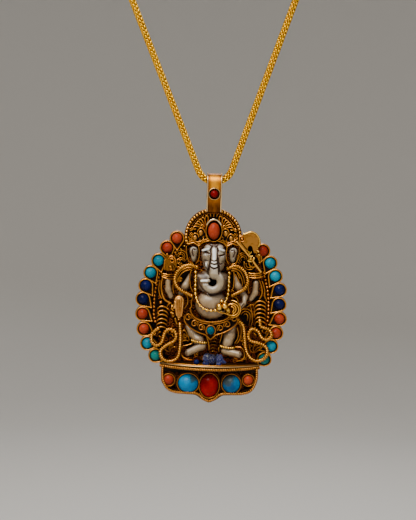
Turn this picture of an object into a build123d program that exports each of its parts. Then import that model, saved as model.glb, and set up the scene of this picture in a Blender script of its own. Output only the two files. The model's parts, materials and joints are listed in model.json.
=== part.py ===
"""A filigree pendant with a standing elephant-headed figure, hanging by its bail on a chain loop.

Millimetres. X runs to the right, Y away from the viewer and Z up. The origin is the underside of
the clasp, where the loop rests on the back of the neck. Left and right are as seen from the front.
"""

from build123d import *

import os
from math import acos, asin, atan2, cos, hypot, radians, sin, sqrt, tan

# Driving sizes of the pendant
WIDTH = 35.9           # over the bezels of the rim stones
BODY_H = 46.0          # from the tip of the base to the top of the crown
PLATE_T = 1.0          # back plate
GAP = 0.06             # clearance between two pieces that rest on each other
SETTING_GAP = 0.05     # clearance round a stone in its bezel

# The drawing's own grid: 35.9 columns to the width and 46 rows to the height
GRID_COLUMNS = 35.9
GRID_ROWS = 46.0

# Stones and their bezels
RIM_STONE_R = 1.2
RIM_DOME = 1.0
RIM_CUP_H = 2.5
CUP_WALL = 0.5
CUP_FLOOR = 0.45
TIP_REACH = 2.75       # from a rim stone's middle to the tip of its teardrop bezel
TIP_TURN = 46.0        # degrees the tip turns inward from the line to the next stone
BASE_WALL = 0.45

# Bail and chain
BAIL_W = 3.5
BAIL_T = 0.35
BAIL_R = 1.75          # inside of the bail's arch
BAIL_RISE = 6.0        # from the crown's top to the middle of the arch
BAIL_STONE_R = 0.9
BAIL_CUP_H = 0.45
BAIL_CUP_WALL = 0.25
BAIL_DOME = 0.55
BAIL_STONE_RISE = 3.4  # from the crown's top to the middle of the bail's stone
CHAIN_D = 1.8
CHAIN_LENGTH = 450.0
CHAIN_HALF_ANGLE = 20.9  # between a strand and the middle of the loop
CHAIN_LEAN = 1.9       # degrees by which the loop leans to the left of plumb
CHAIN_BEND_R = 4.2     # where the chain turns under the bail
CLASP_L = 12.0
CLASP_R = 2.0
CLASP_BORE_DEPTH = 2.5

# Depths, measured forward from the back of the plate
AXIS_DEPTH = BAIL_R - GAP  # middle of the bail's arch, whose rear leg lies behind the plate
CROWN_FRONT = 2.6      # front of the crown's rope rim
BAIL_REAR_FOOT = 1.7   # how far the rear leg reaches down behind the plate
BASE_DEPTH = 4.6
LEDGE_REACH = 6.9      # front of the ledge at its middle
LEDGE_END_REACH = 2.9  # front of the ledge at its two ends
LEDGE_T = 0.9
RIBBON_R = 0.46
SCROLL_R = 0.41
GARLAND_R = 0.3
COLUMN_R = 0.38
CROWN_RIM_R = 0.42
CROWN_WALL = 0.9
CROWN_FIELD = 0.5      # relief of the field inside the crown's wall
CROWN_CUP_TOP = 3.6
CROWN_STONE_FLOOR = 1.6
CROWN_DOME = 1.15
LEAF_TOP_R = 0.85
LEAF_FOOT_R = 0.5
LEAF_DROP = 1.0
LEAF_RISE = 0.7
BASE_RIM = 0.75
BASE_STONE_FLOOR = 2.3
SKIRT_DEPTH = 3.3
SKIRT_T = 1.2
SKIRT_FLOOR = 0.3      # under the skirt's stone
SKIRT_CUP_WALL = 0.35
SKIRT_DOME = 0.45
GARLAND_LIFT = 0.16
BOWL_R = 1.4
BOWL_WIRE = 0.2
BOWL_INNER_RING_R = 0.77
SWEET_SEAT = 0.7       # share of its radius that a ball's middle stands above the dish
SWEET_JOINT_R = 0.36   # the solder between two balls
SWEET_CLEARANCE = 0.18
DISH_T = 0.5
HAND_DEPTH = 3.3
HAND_T = 1.2
HAND_ROUND = 0.4
GROOVE_W = 0.14
GROOVE_L = 4.0
GROOVE_DEPTH = 0.2
EMBLEM_T = 1.0
EMBLEM_BALL_R = 0.55
AXE_T = 0.6
AXE_HANDLE_R = 0.26
AXE_HANDLE_DROP = 0.4  # how far the handle's lower end falls behind the blade
RIBBON_DEPTH = 3.65
ANKLET_R = 0.28
EAR_FOOT_R = 0.62
EAR_T = 1.2
TRUNK_CURL_R = 1.8
TRUNK_R = 0.9
TRUNK_DEPTH = 7.1
MOUSE_EAR_R = 0.42
CHIP_R = 0.62
CHIP_H = 0.5
CHIP_DOME = 0.4
CHIP_DEPTH = 5.0

# One column and one row of the grid in millimetres
U = WIDTH / GRID_COLUMNS
V = BODY_H / GRID_ROWS

# Sizes that follow from those above
CROWN_R = 6.8 * U
TORSO_BACK = PLATE_T + GAP
CUP_R = RIM_STONE_R + SETTING_GAP + CUP_WALL
BASE_HOLLOW_FLOOR = BASE_DEPTH * 0.55
BASE_CUP_FOOT = BASE_DEPTH * 0.5
EMBLEM_DEPTH = RIM_CUP_H + GAP
AXE_DEPTH = RIM_CUP_H + RIM_DOME + 0.3
SCROLL_DEPTH = RIM_CUP_H + RIM_DOME + GAP + SCROLL_R

# Rim stones from the top down, in grid places: right of the middle line, above the tip
RIM_LEFT = (
    ("coral", -8.5, 38.7), ("coral", -10.75, 36.4), ("turquoise", -12.7, 33.3),
    ("turquoise", -14.5, 30.4), ("lapis", -15.6, 27.3), ("lapis", -16.2, 24.1),
    ("coral", -16.2, 20.6), ("coral", -15.8, 17.0), ("turquoise", -14.9, 13.6),
    ("turquoise", -12.9, 10.7),
)
RIM_RIGHT = (
    ("coral", 8.3, 38.7), ("coral", 11.8, 36.2), ("turquoise", 13.6, 33.4),
    ("turquoise", 14.9, 30.3), ("lapis", 16.0, 27.1), ("lapis", 16.0, 23.6),
    ("coral", 16.2, 20.2), ("coral", 15.5, 16.8), ("turquoise", 14.4, 13.6),
    ("turquoise", 12.9, 10.5),
)
# Base stones: name, middle in grid places, half width and half height in millimetres
BASE_STONES = (
    ("base_coral_left", -9.6, 5.3, 1.15, 1.15),
    ("base_turquoise_left", -5.0, 4.6, 2.3, 2.15),
    ("base_egg", 0.0, 4.2, 2.1, 2.7),
    ("base_turquoise_right", 5.2, 4.7, 2.0, 2.1),
    ("base_coral_right", 9.2, 5.7, 1.1, 1.1),
)
PLATE_FOOT = (10.6, 7.0)   # the plate's lower corners, behind the base tray
LAST_TIP = (0.9, 1.2)      # where the lowest bezels' tips turn: share of the way in, rows down
# Half outline of the base tray, from its upper corner down to the tip
BASE_EDGE = (
    (11.5, 8.2), (11.4, 5.6), (10.3, 3.2), (8.0, 2.1), (3.1, 1.9), (1.7, 0.8), (0.0, 0.0),
)
LEDGE_END_U = 11.8
LEDGE_V = BASE_EDGE[0][1] + GAP / V
LEDGE_TOP = LEDGE_V * V + LEDGE_T  # millimetres above the tip of the base
# Beaded column on each side of the figure, from the top down
COLUMN_ROUTE = ((12.2, 31.0), (13.0, 28.0), (13.5, 25.0), (13.6, 20.6), (13.2, 18.6))
# Routes of the applied wires, in grid places
SCROLL_LEFT = (
    (-12.4, 17.4), (-13.8, 16.1), (-13.8, 14.2), (-12.6, 13.3), (-11.5, 14.1), (-11.0, 15.9),
    (-10.3, 17.1), (-8.9, 17.2), (-8.1, 15.9), (-8.6, 14.5), (-10.4, 13.4), (-11.7, 12.1),
    (-11.3, 10.4), (-9.6, 9.6), (-7.8, 10.4), (-7.2, 12.4), (-7.1, 15.4), (-7.3, 18.6),
)
SCROLL_RIGHT = (
    (11.5, 19.9), (11.8, 18.5), (13.6, 17.9), (14.4, 16.5), (13.4, 15.4), (12.1, 15.8),
    (11.2, 17.3), (9.8, 17.9), (8.9, 16.6), (9.4, 15.1), (11.3, 14.6), (13.0, 13.8),
    (13.5, 12.1), (12.5, 10.7), (10.7, 10.3), (9.1, 11.5), (8.3, 13.6), (8.0, 16.4),
    (7.6, 18.6), (6.4, 20.0),
)
RIBBON_LEFT = (
    (-3.6, 32.1), (-5.6, 32.6), (-7.8, 31.4), (-8.8, 29.2), (-8.0, 27.2), (-6.2, 26.0), (-4.7, 25.3),
)
RIBBON_RIGHT = (
    (3.6, 32.0), (5.6, 32.6), (7.5, 31.5), (8.4, 29.3), (7.7, 27.3), (6.1, 26.3), (4.8, 25.6),
)
GARLAND_ROUTE = (
    (-3.9, 30.9), (-3.85, 28.4), (-3.75, 25.8), (-2.9, 23.7), (-1.2, 22.5), (1.2, 22.5),
    (2.9, 23.7), (3.75, 25.8), (3.95, 28.4), (4.0, 30.9),
)
GARLAND_HALF_W = 3.3    # beyond this the strand hangs clear of the body

# Sections of the carved bone, from the top down
# grid height, middle across, half width, middle depth, half depth
HEAD_SECTIONS = (
    (37.9, 0.3, 1.1, 4.3, 1.0),
    (37.1, 0.3, 2.3, 4.4, 2.2),
    (35.6, 0.25, 2.85, 4.6, 2.75),
    (33.8, 0.25, 2.9, 4.8, 2.8),
    (32.4, 0.3, 2.35, 5.3, 2.35),
    (31.3, 0.4, 1.75, 6.2, 1.5),
    (30.4, 0.6, 1.3, 6.9, 0.95),
)
TORSO_SECTIONS = (
    (31.1, 0.0, 2.6, 3.0, 1.4),
    (29.8, 0.0, 4.1, 3.2, 1.9),
    (26.6, 0.0, 3.7, 3.3, 2.1),
    (24.8, 0.0, 3.75, 3.8, 2.6),
    (22.7, 0.0, 3.85, 4.05, 2.9),
    (21.0, 0.0, 3.1, 3.9, 2.6),
    (19.9, 0.0, 1.5, 3.4, 1.6),
)
TRUNK_MIDDLE = (0.15, 28.9)  # middle of the trunk's curl
TRUNK_LIP = ((-1.7, 0.25, 0.65), (-2.7, 0.25, 0.4))  # millimetres from that middle, radius
# Limbs in bone, named ends: grid place, depth, radius
ARMS = {
    "arm_front_left": ((-5.35, 30.0, 2.0, 0.45), (-6.3, 27.3, 2.1, 0.8), (-7.1, 25.7, 2.3, 0.75)),
    "arm_front_right": ((5.35, 30.0, 2.0, 0.45), (6.2, 27.5, 2.1, 0.85), (7.9, 25.2, 2.6, 0.75)),
    "arm_rear_left": ((-10.4, 28.4, 1.75, 0.6), (-10.3, 26.4, 1.8, 0.66), (-9.6, 24.8, 1.8, 0.6)),
    "arm_rear_right": ((10.4, 28.4, 1.75, 0.6), (10.3, 26.2, 1.8, 0.66), (9.3, 24.8, 1.8, 0.6)),
}
HAND_RIGHT = ((7.9, 23.9, 3.6, 0.5), (6.9, 23.4, 4.6, 0.75))
LEGS = {
    "leg_left": (
        (-5.4, 17.6, 2.0, 0.65), (-2.9, 14.9, 3.0, 1.25), (-1.9, 13.4, 3.6, 0.95),
        (-5.1, 12.2, 5.0, 0.85),
    ),
    "leg_right": (
        (5.0, 17.6, 2.3, 0.95), (4.1, 14.2, 3.2, 1.2), (3.5, 12.4, 3.8, 0.85),
        (6.7, 12.1, 5.0, 0.85),
    ),
}
# Anklets: middle in grid places, depth, radius of the ring across, turn in degrees
ANKLETS = {
    "anklet_left": (-2.7, 14.5, 3.15, 1.72, -8.0),
    "anklet_right": (4.0, 13.4, 3.5, 1.62, -6.0),
}
EARS = {"ear_left": (-4.5, -4.55, 1.0), "ear_right": (4.85, 4.6, 1.0)}
EAR_TOP = 35.9
EAR_FOOT = 33.8
# Outline of the axe blade
AXE_EDGE = (
    (5.9, 38.3), (6.3, 39.9), (7.6, 40.2), (9.0, 40.8), (10.4, 40.2), (11.1, 38.7), (10.6, 37.2),
    (10.5, 35.9), (9.7, 35.8), (9.3, 36.8), (8.7, 37.2), (8.2, 36.0), (7.4, 36.5),
)
AXE_HANDLE = ((5.7, 38.2), (8.6, 35.0), (11.5, 31.3))
# Lower half outline of the skirt, from its upper corner to its middle
SKIRT_EDGE = (
    (5.3, 21.9), (6.4, 20.4), (5.6, 18.9), (4.0, 17.5), (2.4, 16.8), (1.0, 16.2), (0.0, 15.1),
)
SKIRT_RISE = 19.35     # upper edge of the skirt at its middle
SKIRT_STONE = (0.0, 17.35, 0.82, 0.95)
EMBLEM_EDGE = ((-11.2, 31.1), (-11.4, 33.8), (-10.6, 34.8), (-9.2, 34.6), (-8.3, 33.4), (-8.6, 31.1))
EMBLEM_BALL = (-9.8, 31.9)
# Crown: its foot, its stone with half width and half height, and its leaves with their lean
CROWN_FOOT = 38.0
CROWN_STONE = (0.15, 40.7, 1.4, 2.0)
CROWN_LEAVES = ((2.7, 40.2, 0.3), (4.0, 38.9, 0.5))
BAIL_STONE_PLACE = (0.0, GRID_ROWS + BAIL_STONE_RISE / V)
# Bowl of sweets: its middle and depth, then each ball in millimetres from that middle, radius
BOWL = (5.0, 22.6, 5.6)
SWEETS_ROW = ((-3.15, 0.65, 0.7), (-1.95, 0.75, 0.75), (-1.1, 0.0, 0.65))
SWEET_ON_TOP = (-2.6, 1.7, 0.5)
# Giving hand: the middle of the palm and of the finger tips, each with its radius
HAND_PALM = (-7.45, 23.9, 1.25)
HAND_TIPS = (-7.5, 20.4, 0.8)
HAND_GROOVES = (-0.62, 0.0, 0.6)   # millimetres from the palm's middle line
HAND_GROOVE_V = 21.8
# The mouse from its tail end to its snout: u, millimetres above the ledge, half height, depth, half depth
MOUSE_SECTIONS = (
    (-1.6, 1.3, 0.5, 5.2, 0.5), (-0.8, 1.5, 1.25, 5.2, 1.0), (0.4, 1.6, 1.35, 5.2, 1.15),
    (1.3, 1.35, 1.0, 5.2, 0.8), (2.1, 1.35, 1.15, 5.3, 1.0), (3.0, 1.05, 0.9, 5.4, 0.8),
    (3.7, 0.75, 0.35, 5.5, 0.35),
)
MOUSE_EARS = ((1.75, 2.35, 5.2), (2.5, 2.3, 5.4))
CHIP_U = -3.15


# Places and helpers
def front(depth):
    """The drawing plane seen from the front, at a depth forward of the plate's back."""
    return Plane(origin=(PENDANT_X, BACK_Y - depth, TIP_Z), x_dir=(1, 0, 0), z_dir=(0, -1, 0))


def grid(u, v):
    """A grid place as millimetres in the drawing plane."""
    return (u * U, v * V)


def spot(u, v, depth):
    """A grid place and a depth as a point in space."""
    return Vector(PENDANT_X + u * U, BACK_Y - depth, TIP_Z + v * V)


def near(u, v, right, up):
    """The grid place that lies some millimetres to the right of another and above it."""
    return (u + right / U, v + up / V)


def slab(face, low, high):
    """A flat piece drawn from the front, between two depths."""
    return extrude(front(low) * face, amount=high - low)


def both_sides(edge):
    """A half outline and its mirror image as one ring of points."""
    mirrored = [(-u, v) for u, v in reversed(edge) if abs(u) > 0]
    return [grid(u, v) for u, v in list(edge) + mirrored]


def outline(points, share=0.35):
    """A closed outline whose corners are rounded as far as a share of their shorter run."""
    radii = corner_radii([Vector(*p) for p in points], share, closed=True)
    return make_face(FilletPolyline(*points, radius=radii, close=True).edges())


def corner_radii(points, share, closed=False):
    """The radius at each corner of a run of points."""
    count = len(points)
    corners = range(count) if closed else range(1, count - 1)
    radii = []
    for i in corners:
        before = points[i] - points[i - 1]
        after = points[(i + 1) % count] - points[i]
        turn = max(before.get_angle(after), 0.5)
        radii.append(share * min(before.length, after.length) / tan(radians(turn / 2)))
    return radii


def wire(points, radius):
    """A round wire through points in space, bent at each as wide as its runs allow."""
    path = FilletPolyline(*points, radius=corner_radii(points, 0.45))
    return sweep(Plane(origin=path @ 0, z_dir=path % 0) * Circle(radius), path=path)


def taper(start, start_r, end, end_r):
    """The outline round two circles: a rounded bar that tapers."""
    reach = hypot(end[0] - start[0], end[1] - start[1])
    heading = atan2(end[1] - start[1], end[0] - start[0])
    lean = acos((start_r - end_r) / reach)
    bar = [
        (x + r * cos(heading + side * lean), z + r * sin(heading + side * lean))
        for (x, z), r, side in ((start, start_r, 1), (end, end_r, 1), (end, end_r, -1), (start, start_r, -1))
    ]
    face = make_face(Polyline(*bar, close=True).edges())
    return face + Pos(*start) * Circle(start_r) + Pos(*end) * Circle(end_r)


def limb(ends, grow=0.0):
    """A rounded limb through balls that are joined by cones, each (u, v, depth, radius)."""
    body = None
    for u, v, depth, radius in ends:
        ball = Pos(*spot(u, v, depth)) * Sphere(radius + grow)
        body = ball if body is None else body + ball
    for one, two in zip(ends, ends[1:]):
        start, end = spot(*one[:3]), spot(*two[:3])
        r1, r2 = one[3] + grow, two[3] + grow
        axis = end - start
        slope = (r1 - r2) / axis.length
        side = sqrt(1 - slope**2)
        base = start + axis.normalized() * (r1 * slope)
        tip = end + axis.normalized() * (r2 * slope)
        lower = Plane(origin=base, z_dir=axis) * Circle(r1 * side)
        upper = Plane(origin=tip, z_dir=axis) * Circle(r2 * side)
        body += loft([lower.face(), upper.face()])
    return body


def carved(sections, grow=0.0):
    """A carved form lofted through level ovals, each (v, middle u, half width, depth, half depth)."""
    faces = []
    for v, u, half, depth, deep in sections:
        plane = Plane(origin=spot(u, v, depth), x_dir=(1, 0, 0), z_dir=(0, 0, 1))
        faces.append((plane * Ellipse(half + grow, deep + grow)).face())
    return loft(faces)


def carved_front(sections, u, v):
    """The depth of a carved form's face at a place, between the two sections nearest to it."""
    for upper, lower in zip(sections, sections[1:]):
        if lower[0] <= v <= upper[0]:
            share = (upper[0] - v) / (upper[0] - lower[0])
            _, _, half, depth, deep = (a + (b - a) * share for a, b in zip(upper, lower))
            return depth + deep * sqrt(max(0.0, 1 - (u * U / half) ** 2))
    raise ValueError("the place is above or below the form")


def cabochon(half_w, half_h, straight, dome):
    """A domed stone seen from the front: upright sides, then a round top."""
    radius = half_w
    side = Circle(radius)
    post = extrude(side, amount=straight)
    ball_r = (radius**2 + dome**2) / (2 * dome)
    ball = Pos(0, 0, straight + dome - ball_r) * Sphere(ball_r)
    cap = ball & extrude(Pos(0, 0, straight) * side, amount=dome * 2)
    stone = post + cap
    if abs(half_h - half_w) > GAP:
        stone = scale(stone, by=(1, half_h / half_w, 1))
    return stone


def seat_stone(u, v, floor, half_w, half_h, straight, dome):
    """A domed stone standing on a floor at a depth."""
    plane = Plane(origin=spot(u, v, floor), x_dir=(1, 0, 0), z_dir=(0, -1, 0))
    return plane * cabochon(half_w, half_h, straight, dome)


def pocket(u, v, floor, top, half_w, half_h):
    """The room for a stone in a setting."""
    oval = Ellipse(half_w + SETTING_GAP, half_h + SETTING_GAP)
    if abs(half_h - half_w) <= GAP:
        oval = Circle(half_w + SETTING_GAP)
    return slab(Pos(*grid(u, v)) * oval, floor, top)


# The chain loop, and from it the pendant's place
chain_r = CHAIN_D / 2
half = radians(CHAIN_HALF_ANGLE)
lean = radians(CHAIN_LEAN)
bend_saving = CHAIN_BEND_R * (2 / tan(half) - (radians(180) - 2 * half))
LOOP_R = (CHAIN_LENGTH + bend_saving) / (radians(180) + 2 * half + 2 / tan(half))
loop_middle = Vector(0, 0, CLASP_R - LOOP_R)
down = Vector(sin(lean), 0, -cos(lean))
apex = loop_middle + down * (LOOP_R / sin(half))
bend_middle = apex - down * (CHAIN_BEND_R / sin(half))

edge_rise = CHAIN_BEND_R - sqrt(CHAIN_BEND_R**2 - (BAIL_W / 2) ** 2)
edge_slope = asin(BAIL_W / 2 / CHAIN_BEND_R)
chain_lift = BAIL_R - GAP - edge_rise - chain_r / cos(edge_slope)
AXIS_Z = bend_middle.Z - CHAIN_BEND_R - chain_lift
PENDANT_X = bend_middle.X
BACK_Y = AXIS_DEPTH
TIP_Z = AXIS_Z - BAIL_RISE - BODY_H


def on_circle(middle, radius, angle):
    """A point of a circle in the loop's plane, at an angle from the right."""
    return middle + Vector(cos(angle), 0, sin(angle)) * radius


def loop_arc(middle, radius, start, end):
    """An arc in the loop's plane between two angles."""
    points = [on_circle(middle, radius, start + (end - start) * share) for share in (0, 0.5, 1)]
    return ThreePointArc(*points)


def make_chain():
    """The chain as one round bar: over the neck, down two straight strands and under the bail."""
    to_right = radians(-90) + lean + (radians(90) - half)
    to_left = radians(-90) + lean - (radians(90) - half)
    clasp_turn = (CLASP_L / 2 - CLASP_BORE_DEPTH + GAP) / LOOP_R
    top = radians(90)
    right_end = top - clasp_turn
    left_end = top + clasp_turn - radians(360)
    right = loop_arc(loop_middle, LOOP_R, right_end, to_right)
    bend = loop_arc(bend_middle, CHAIN_BEND_R, to_right, to_left)
    left = loop_arc(loop_middle, LOOP_R, to_left, left_end)
    path = Wire([right.edge(), Edge.make_line(right @ 1, bend @ 0), bend.edge(),
                 Edge.make_line(bend @ 1, left @ 0), left.edge()])
    print("chain length", round(path.length + 2 * clasp_turn * LOOP_R, 1))
    return sweep(Plane(origin=path @ 0, z_dir=path % 0) * Circle(chain_r), path=path)


def make_clasp():
    """A plain barrel at the back of the neck, with a socket for each end of the chain."""
    half_turn = CLASP_L / 2 / LOOP_R
    bore_turn = CLASP_BORE_DEPTH / LOOP_R
    top = radians(90)
    body = loop_arc(loop_middle, LOOP_R, top + half_turn, top - half_turn)
    barrel = sweep(Plane(origin=body @ 0, z_dir=body % 0) * Circle(CLASP_R), path=body)
    barrel = fillet(barrel.edges().filter_by(GeomType.CIRCLE), CLASP_R * 0.2)
    for start, end in ((half_turn, half_turn - bore_turn), (-half_turn, bore_turn - half_turn)):
        bore = loop_arc(loop_middle, LOOP_R, top + start, top + end)
        barrel -= sweep(Plane(origin=bore @ 0, z_dir=bore % 0) * Circle(chain_r + GAP), path=bore)
    return barrel


def make_bail():
    """A strip folded over the chain: an arch, a rear leg behind the plate and a front leg on the crown."""
    outer_r = BAIL_R + BAIL_T
    rear, fore = AXIS_DEPTH - outer_r, AXIS_DEPTH + outer_r
    axis_v = BODY_H + BAIL_RISE
    straight_v = BODY_H + BAIL_RISE * 0.38
    foot_v = BODY_H - CROWN_WALL
    foot_depth = CROWN_FRONT + GAP
    side = Plane(origin=(PENDANT_X + BAIL_W / 2, BACK_Y, TIP_Z), x_dir=(0, -1, 0), z_dir=(-1, 0, 0))
    slope = atan2(fore - BAIL_T - foot_depth, straight_v - foot_v)
    shift = BAIL_T * (1 - sin(slope)) / cos(slope)
    rear_foot = BODY_H - BAIL_REAR_FOOT
    path = [
        Line((rear, rear_foot), (rear, axis_v)),
        ThreePointArc((rear, axis_v), (AXIS_DEPTH, axis_v + outer_r), (fore, axis_v)),
        Polyline((fore, axis_v), (fore, straight_v), (foot_depth + BAIL_T, foot_v),
                 (foot_depth, foot_v), (fore - BAIL_T, straight_v + shift * 0.5),
                 (fore - BAIL_T, axis_v)),
        ThreePointArc((fore - BAIL_T, axis_v), (AXIS_DEPTH, axis_v + BAIL_R), (rear + BAIL_T, axis_v)),
        Polyline((rear + BAIL_T, axis_v), (rear + BAIL_T, rear_foot), (rear, rear_foot)),
    ]
    profile = make_face([edge for line in path for edge in line.edges()])
    strip = extrude(side * profile, amount=BAIL_W)
    cup = Circle(BAIL_STONE_R + SETTING_GAP + BAIL_CUP_WALL) - Circle(BAIL_STONE_R + SETTING_GAP)
    return strip + slab(Pos(*grid(*BAIL_STONE_PLACE)) * cup, fore - BAIL_T / 2, fore + BAIL_CUP_H)


def tip_of(place, following):
    """Where a rim bezel's teardrop ends: toward the next stone, turned inward."""
    here, there = grid(*place), grid(*following)
    inward = radians(TIP_TURN) * (1 if place[0] < 0 else -1)
    heading = atan2(there[1] - here[1], there[0] - here[0]) + inward
    return (here[0] + TIP_REACH * cos(heading), here[1] + TIP_REACH * sin(heading))


def rim_cup(places, index, grow=0.0):
    """One teardrop bezel of the rim as a solid block, before its pocket is cut."""
    here = places[index][1:]
    if index + 1 < len(places):
        tip = tip_of(here, places[index + 1][1:])
    else:
        tip = grid(here[0] * LAST_TIP[0], here[1] - LAST_TIP[1])
    drop = taper(grid(*here), CUP_R + grow, tip, CUP_WALL / 2 + grow)
    return slab(drop, 0, RIM_CUP_H + grow)


def plate_outline():
    """The back plate: its edge runs through the middles of the rim stones and down behind the base."""
    left = [grid(u, v) for _, u, v in RIM_LEFT]
    right = [grid(u, v) for _, u, v in reversed(RIM_RIGHT)]
    foot_u, foot_v = PLATE_FOOT
    return outline(left + [grid(-foot_u, foot_v), grid(foot_u, foot_v)] + right)


def make_frame():
    """The back plate with all that is soldered to it: rim bezels and the two beaded columns."""
    plate = slab(plate_outline(), 0, PLATE_T)
    plate += slab(Pos(0, BODY_H - CROWN_R) * Circle(CROWN_R), 0, PLATE_T)
    for places in (RIM_LEFT, RIM_RIGHT):
        for index in range(len(places)):
            plate += rim_cup(places, index)
    for side in (-1, 1):
        route = [spot(side * u, v, PLATE_T) for u, v in COLUMN_ROUTE]
        plate += wire(route, COLUMN_R)
    for _, u, v in RIM_LEFT + RIM_RIGHT:
        plate -= pocket(u, v, CUP_FLOOR, RIM_CUP_H + PLATE_T, RIM_STONE_R, RIM_STONE_R)
    plate -= slab(base_outline(GAP), -PLATE_T, BASE_DEPTH + PLATE_T)
    return plate - slab(crown_outline(GAP), PLATE_T, CROWN_FRONT * 2)


def crown_outline(grow=0.0):
    """The crown's round outline above its foot."""
    disc = Pos(0, BODY_H - CROWN_R) * Circle(CROWN_R + grow)
    below = Pos(0, CROWN_FOOT * V - grow - CROWN_R * 2) * Rectangle(CROWN_R * 4, CROWN_R * 4)
    return disc - below


def base_outline(grow=0.0):
    """The outline of the base tray."""
    face = outline(both_sides(BASE_EDGE))
    return offset(face, grow) if grow else face


def make_base():
    """The tray of the base: a floor, a raised rim and a bezel round each of its stones."""
    tray = slab(base_outline(), 0, BASE_DEPTH)
    hollow = offset(base_outline(), -BASE_RIM)
    tray -= slab(hollow, BASE_HOLLOW_FLOOR, BASE_DEPTH + PLATE_T)
    for _, u, v, half_w, half_h in BASE_STONES:
        cup = Pos(*grid(u, v)) * Ellipse(half_w + SETTING_GAP + BASE_WALL, half_h + SETTING_GAP + BASE_WALL)
        tray += slab(cup, BASE_CUP_FOOT, BASE_DEPTH)
    for _, u, v, half_w, half_h in BASE_STONES:
        tray -= pocket(u, v, BASE_STONE_FLOOR, BASE_DEPTH + PLATE_T, half_w, half_h)
    return tray


def ledge_face():
    """The ledge seen from above: straight at the back, bowed out at the front."""
    end = grid(LEDGE_END_U, 0)[0]
    back = PLATE_T + GAP
    front_line = ThreePointArc((-end, LEDGE_END_REACH), (0, LEDGE_REACH), (end, LEDGE_END_REACH))
    rest = Polyline((end, LEDGE_END_REACH), (end, back), (-end, back), (-end, LEDGE_END_REACH))
    return make_face(front_line.edges() + rest.edges())


def make_ledge():
    """The curved platform that the figure stands on, just above the base tray."""
    low = Plane(origin=spot(0, LEDGE_V, 0), x_dir=(1, 0, 0), z_dir=(0, 0, 1))
    flat = mirror(ledge_face(), about=Plane.XZ)
    ledge = extrude(low * flat, amount=LEDGE_T)
    for places in (RIM_LEFT, RIM_RIGHT):
        _, u, v = places[-1]
        ledge -= rim_cup(places, len(places) - 1, GAP)
        ledge -= slab(Pos(*grid(u, v)) * Circle(CUP_R), RIM_CUP_H, RIM_CUP_H + RIM_DOME + GAP)
    return ledge


def make_crown():
    """The crown: an arched wall with a rope rim, a field of relief, a deep oval setting and four leaves."""
    middle = Pos(0, BODY_H - CROWN_R)
    wall_face = middle * (Circle(CROWN_R) - Circle(CROWN_R - CROWN_WALL))
    arch = slab(wall_face, TORSO_BACK, CROWN_FRONT - CROWN_RIM_R)
    arch += slab(middle * Circle(CROWN_R - CROWN_WALL / 2), TORSO_BACK, TORSO_BACK + CROWN_FIELD)
    ring_r = CROWN_R - CROWN_RIM_R
    centre = spot(0, 0, CROWN_FRONT - CROWN_RIM_R) + Vector(0, 0, BODY_H - CROWN_R)
    arch += Plane(origin=centre, x_dir=(1, 0, 0), z_dir=(0, -1, 0)) * Torus(ring_r, CROWN_RIM_R)
    arch &= slab(crown_outline(), 0, CROWN_FRONT * 2)
    u, v, half_w, half_h = CROWN_STONE
    cup = Pos(*grid(u, v)) * Ellipse(half_w + SETTING_GAP + CUP_WALL, half_h + SETTING_GAP + CUP_WALL)
    arch += slab(cup, TORSO_BACK, CROWN_CUP_TOP)
    for leaf_u, leaf_v, lean_u in CROWN_LEAVES:
        for side in (-1, 1):
            top = grid(side * leaf_u, leaf_v)
            foot = (top[0] + side * lean_u, top[1] - LEAF_DROP)
            leaf = taper(top, LEAF_TOP_R, foot, LEAF_FOOT_R)
            arch += slab(leaf, TORSO_BACK, TORSO_BACK + CROWN_FIELD + LEAF_RISE)
    arch -= pocket(u, v, CROWN_STONE_FLOOR, CROWN_CUP_TOP + PLATE_T, half_w, half_h)
    return arch - carved(HEAD_SECTIONS, GAP * 2)


def make_head():
    """The elephant head and its trunk, which curls to the left round an open loop."""
    head = carved(HEAD_SECTIONS)
    u, v = TRUNK_MIDDLE
    middle = spot(u, v, TRUNK_DEPTH)
    points = [on_circle(middle, TRUNK_CURL_R, radians(turn)) for turn in (78, -60, -198)]
    curl = ThreePointArc(*points)
    trunk = sweep(Plane(origin=curl @ 0, z_dir=curl % 0) * Circle(TRUNK_R), path=curl)
    lip = limb([(*near(u, v, right, up), TRUNK_DEPTH, radius) for right, up, radius in TRUNK_LIP])
    return head + trunk + lip


def make_ear(name):
    """One ear: a flat rounded leaf, wide at the top."""
    top_u, foot_u, top_r = EARS[name]
    leaf = taper(grid(top_u, EAR_TOP), top_r, grid(foot_u, EAR_FOOT), EAR_FOOT_R)
    solid = slab(leaf, PLATE_T + GAP, PLATE_T + GAP + EAR_T)
    return fillet(solid.faces().sort_by(Axis.Y)[0].edges(), EAR_T * 0.35)


def make_skirt():
    """The scrolled skirt below the belly, with a setting over its point."""
    edge = both_sides(SKIRT_EDGE)
    corner_u, corner_v = grid(*SKIRT_EDGE[0])
    rise = SKIRT_RISE * V
    lower = Polyline(*edge)
    upper = ThreePointArc((-corner_u, corner_v), (0, rise), (corner_u, corner_v))
    skirt = slab(make_face(lower.edges() + upper.edges()), SKIRT_DEPTH, SKIRT_DEPTH + SKIRT_T)
    u, v, half_w, half_h = SKIRT_STONE
    reach = SETTING_GAP + SKIRT_CUP_WALL
    cup = Pos(*grid(u, v)) * Ellipse(half_w + reach, half_h + reach)
    skirt += slab(cup, SKIRT_DEPTH, SKIRT_DEPTH + SKIRT_T + SKIRT_CUP_WALL)
    skirt -= pocket(u, v, SKIRT_DEPTH + SKIRT_FLOOR, SKIRT_DEPTH + SKIRT_T * 2, half_w, half_h)
    for ends in LEGS.values():
        skirt -= limb(ends[:2], GAP)
    return skirt


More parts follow.
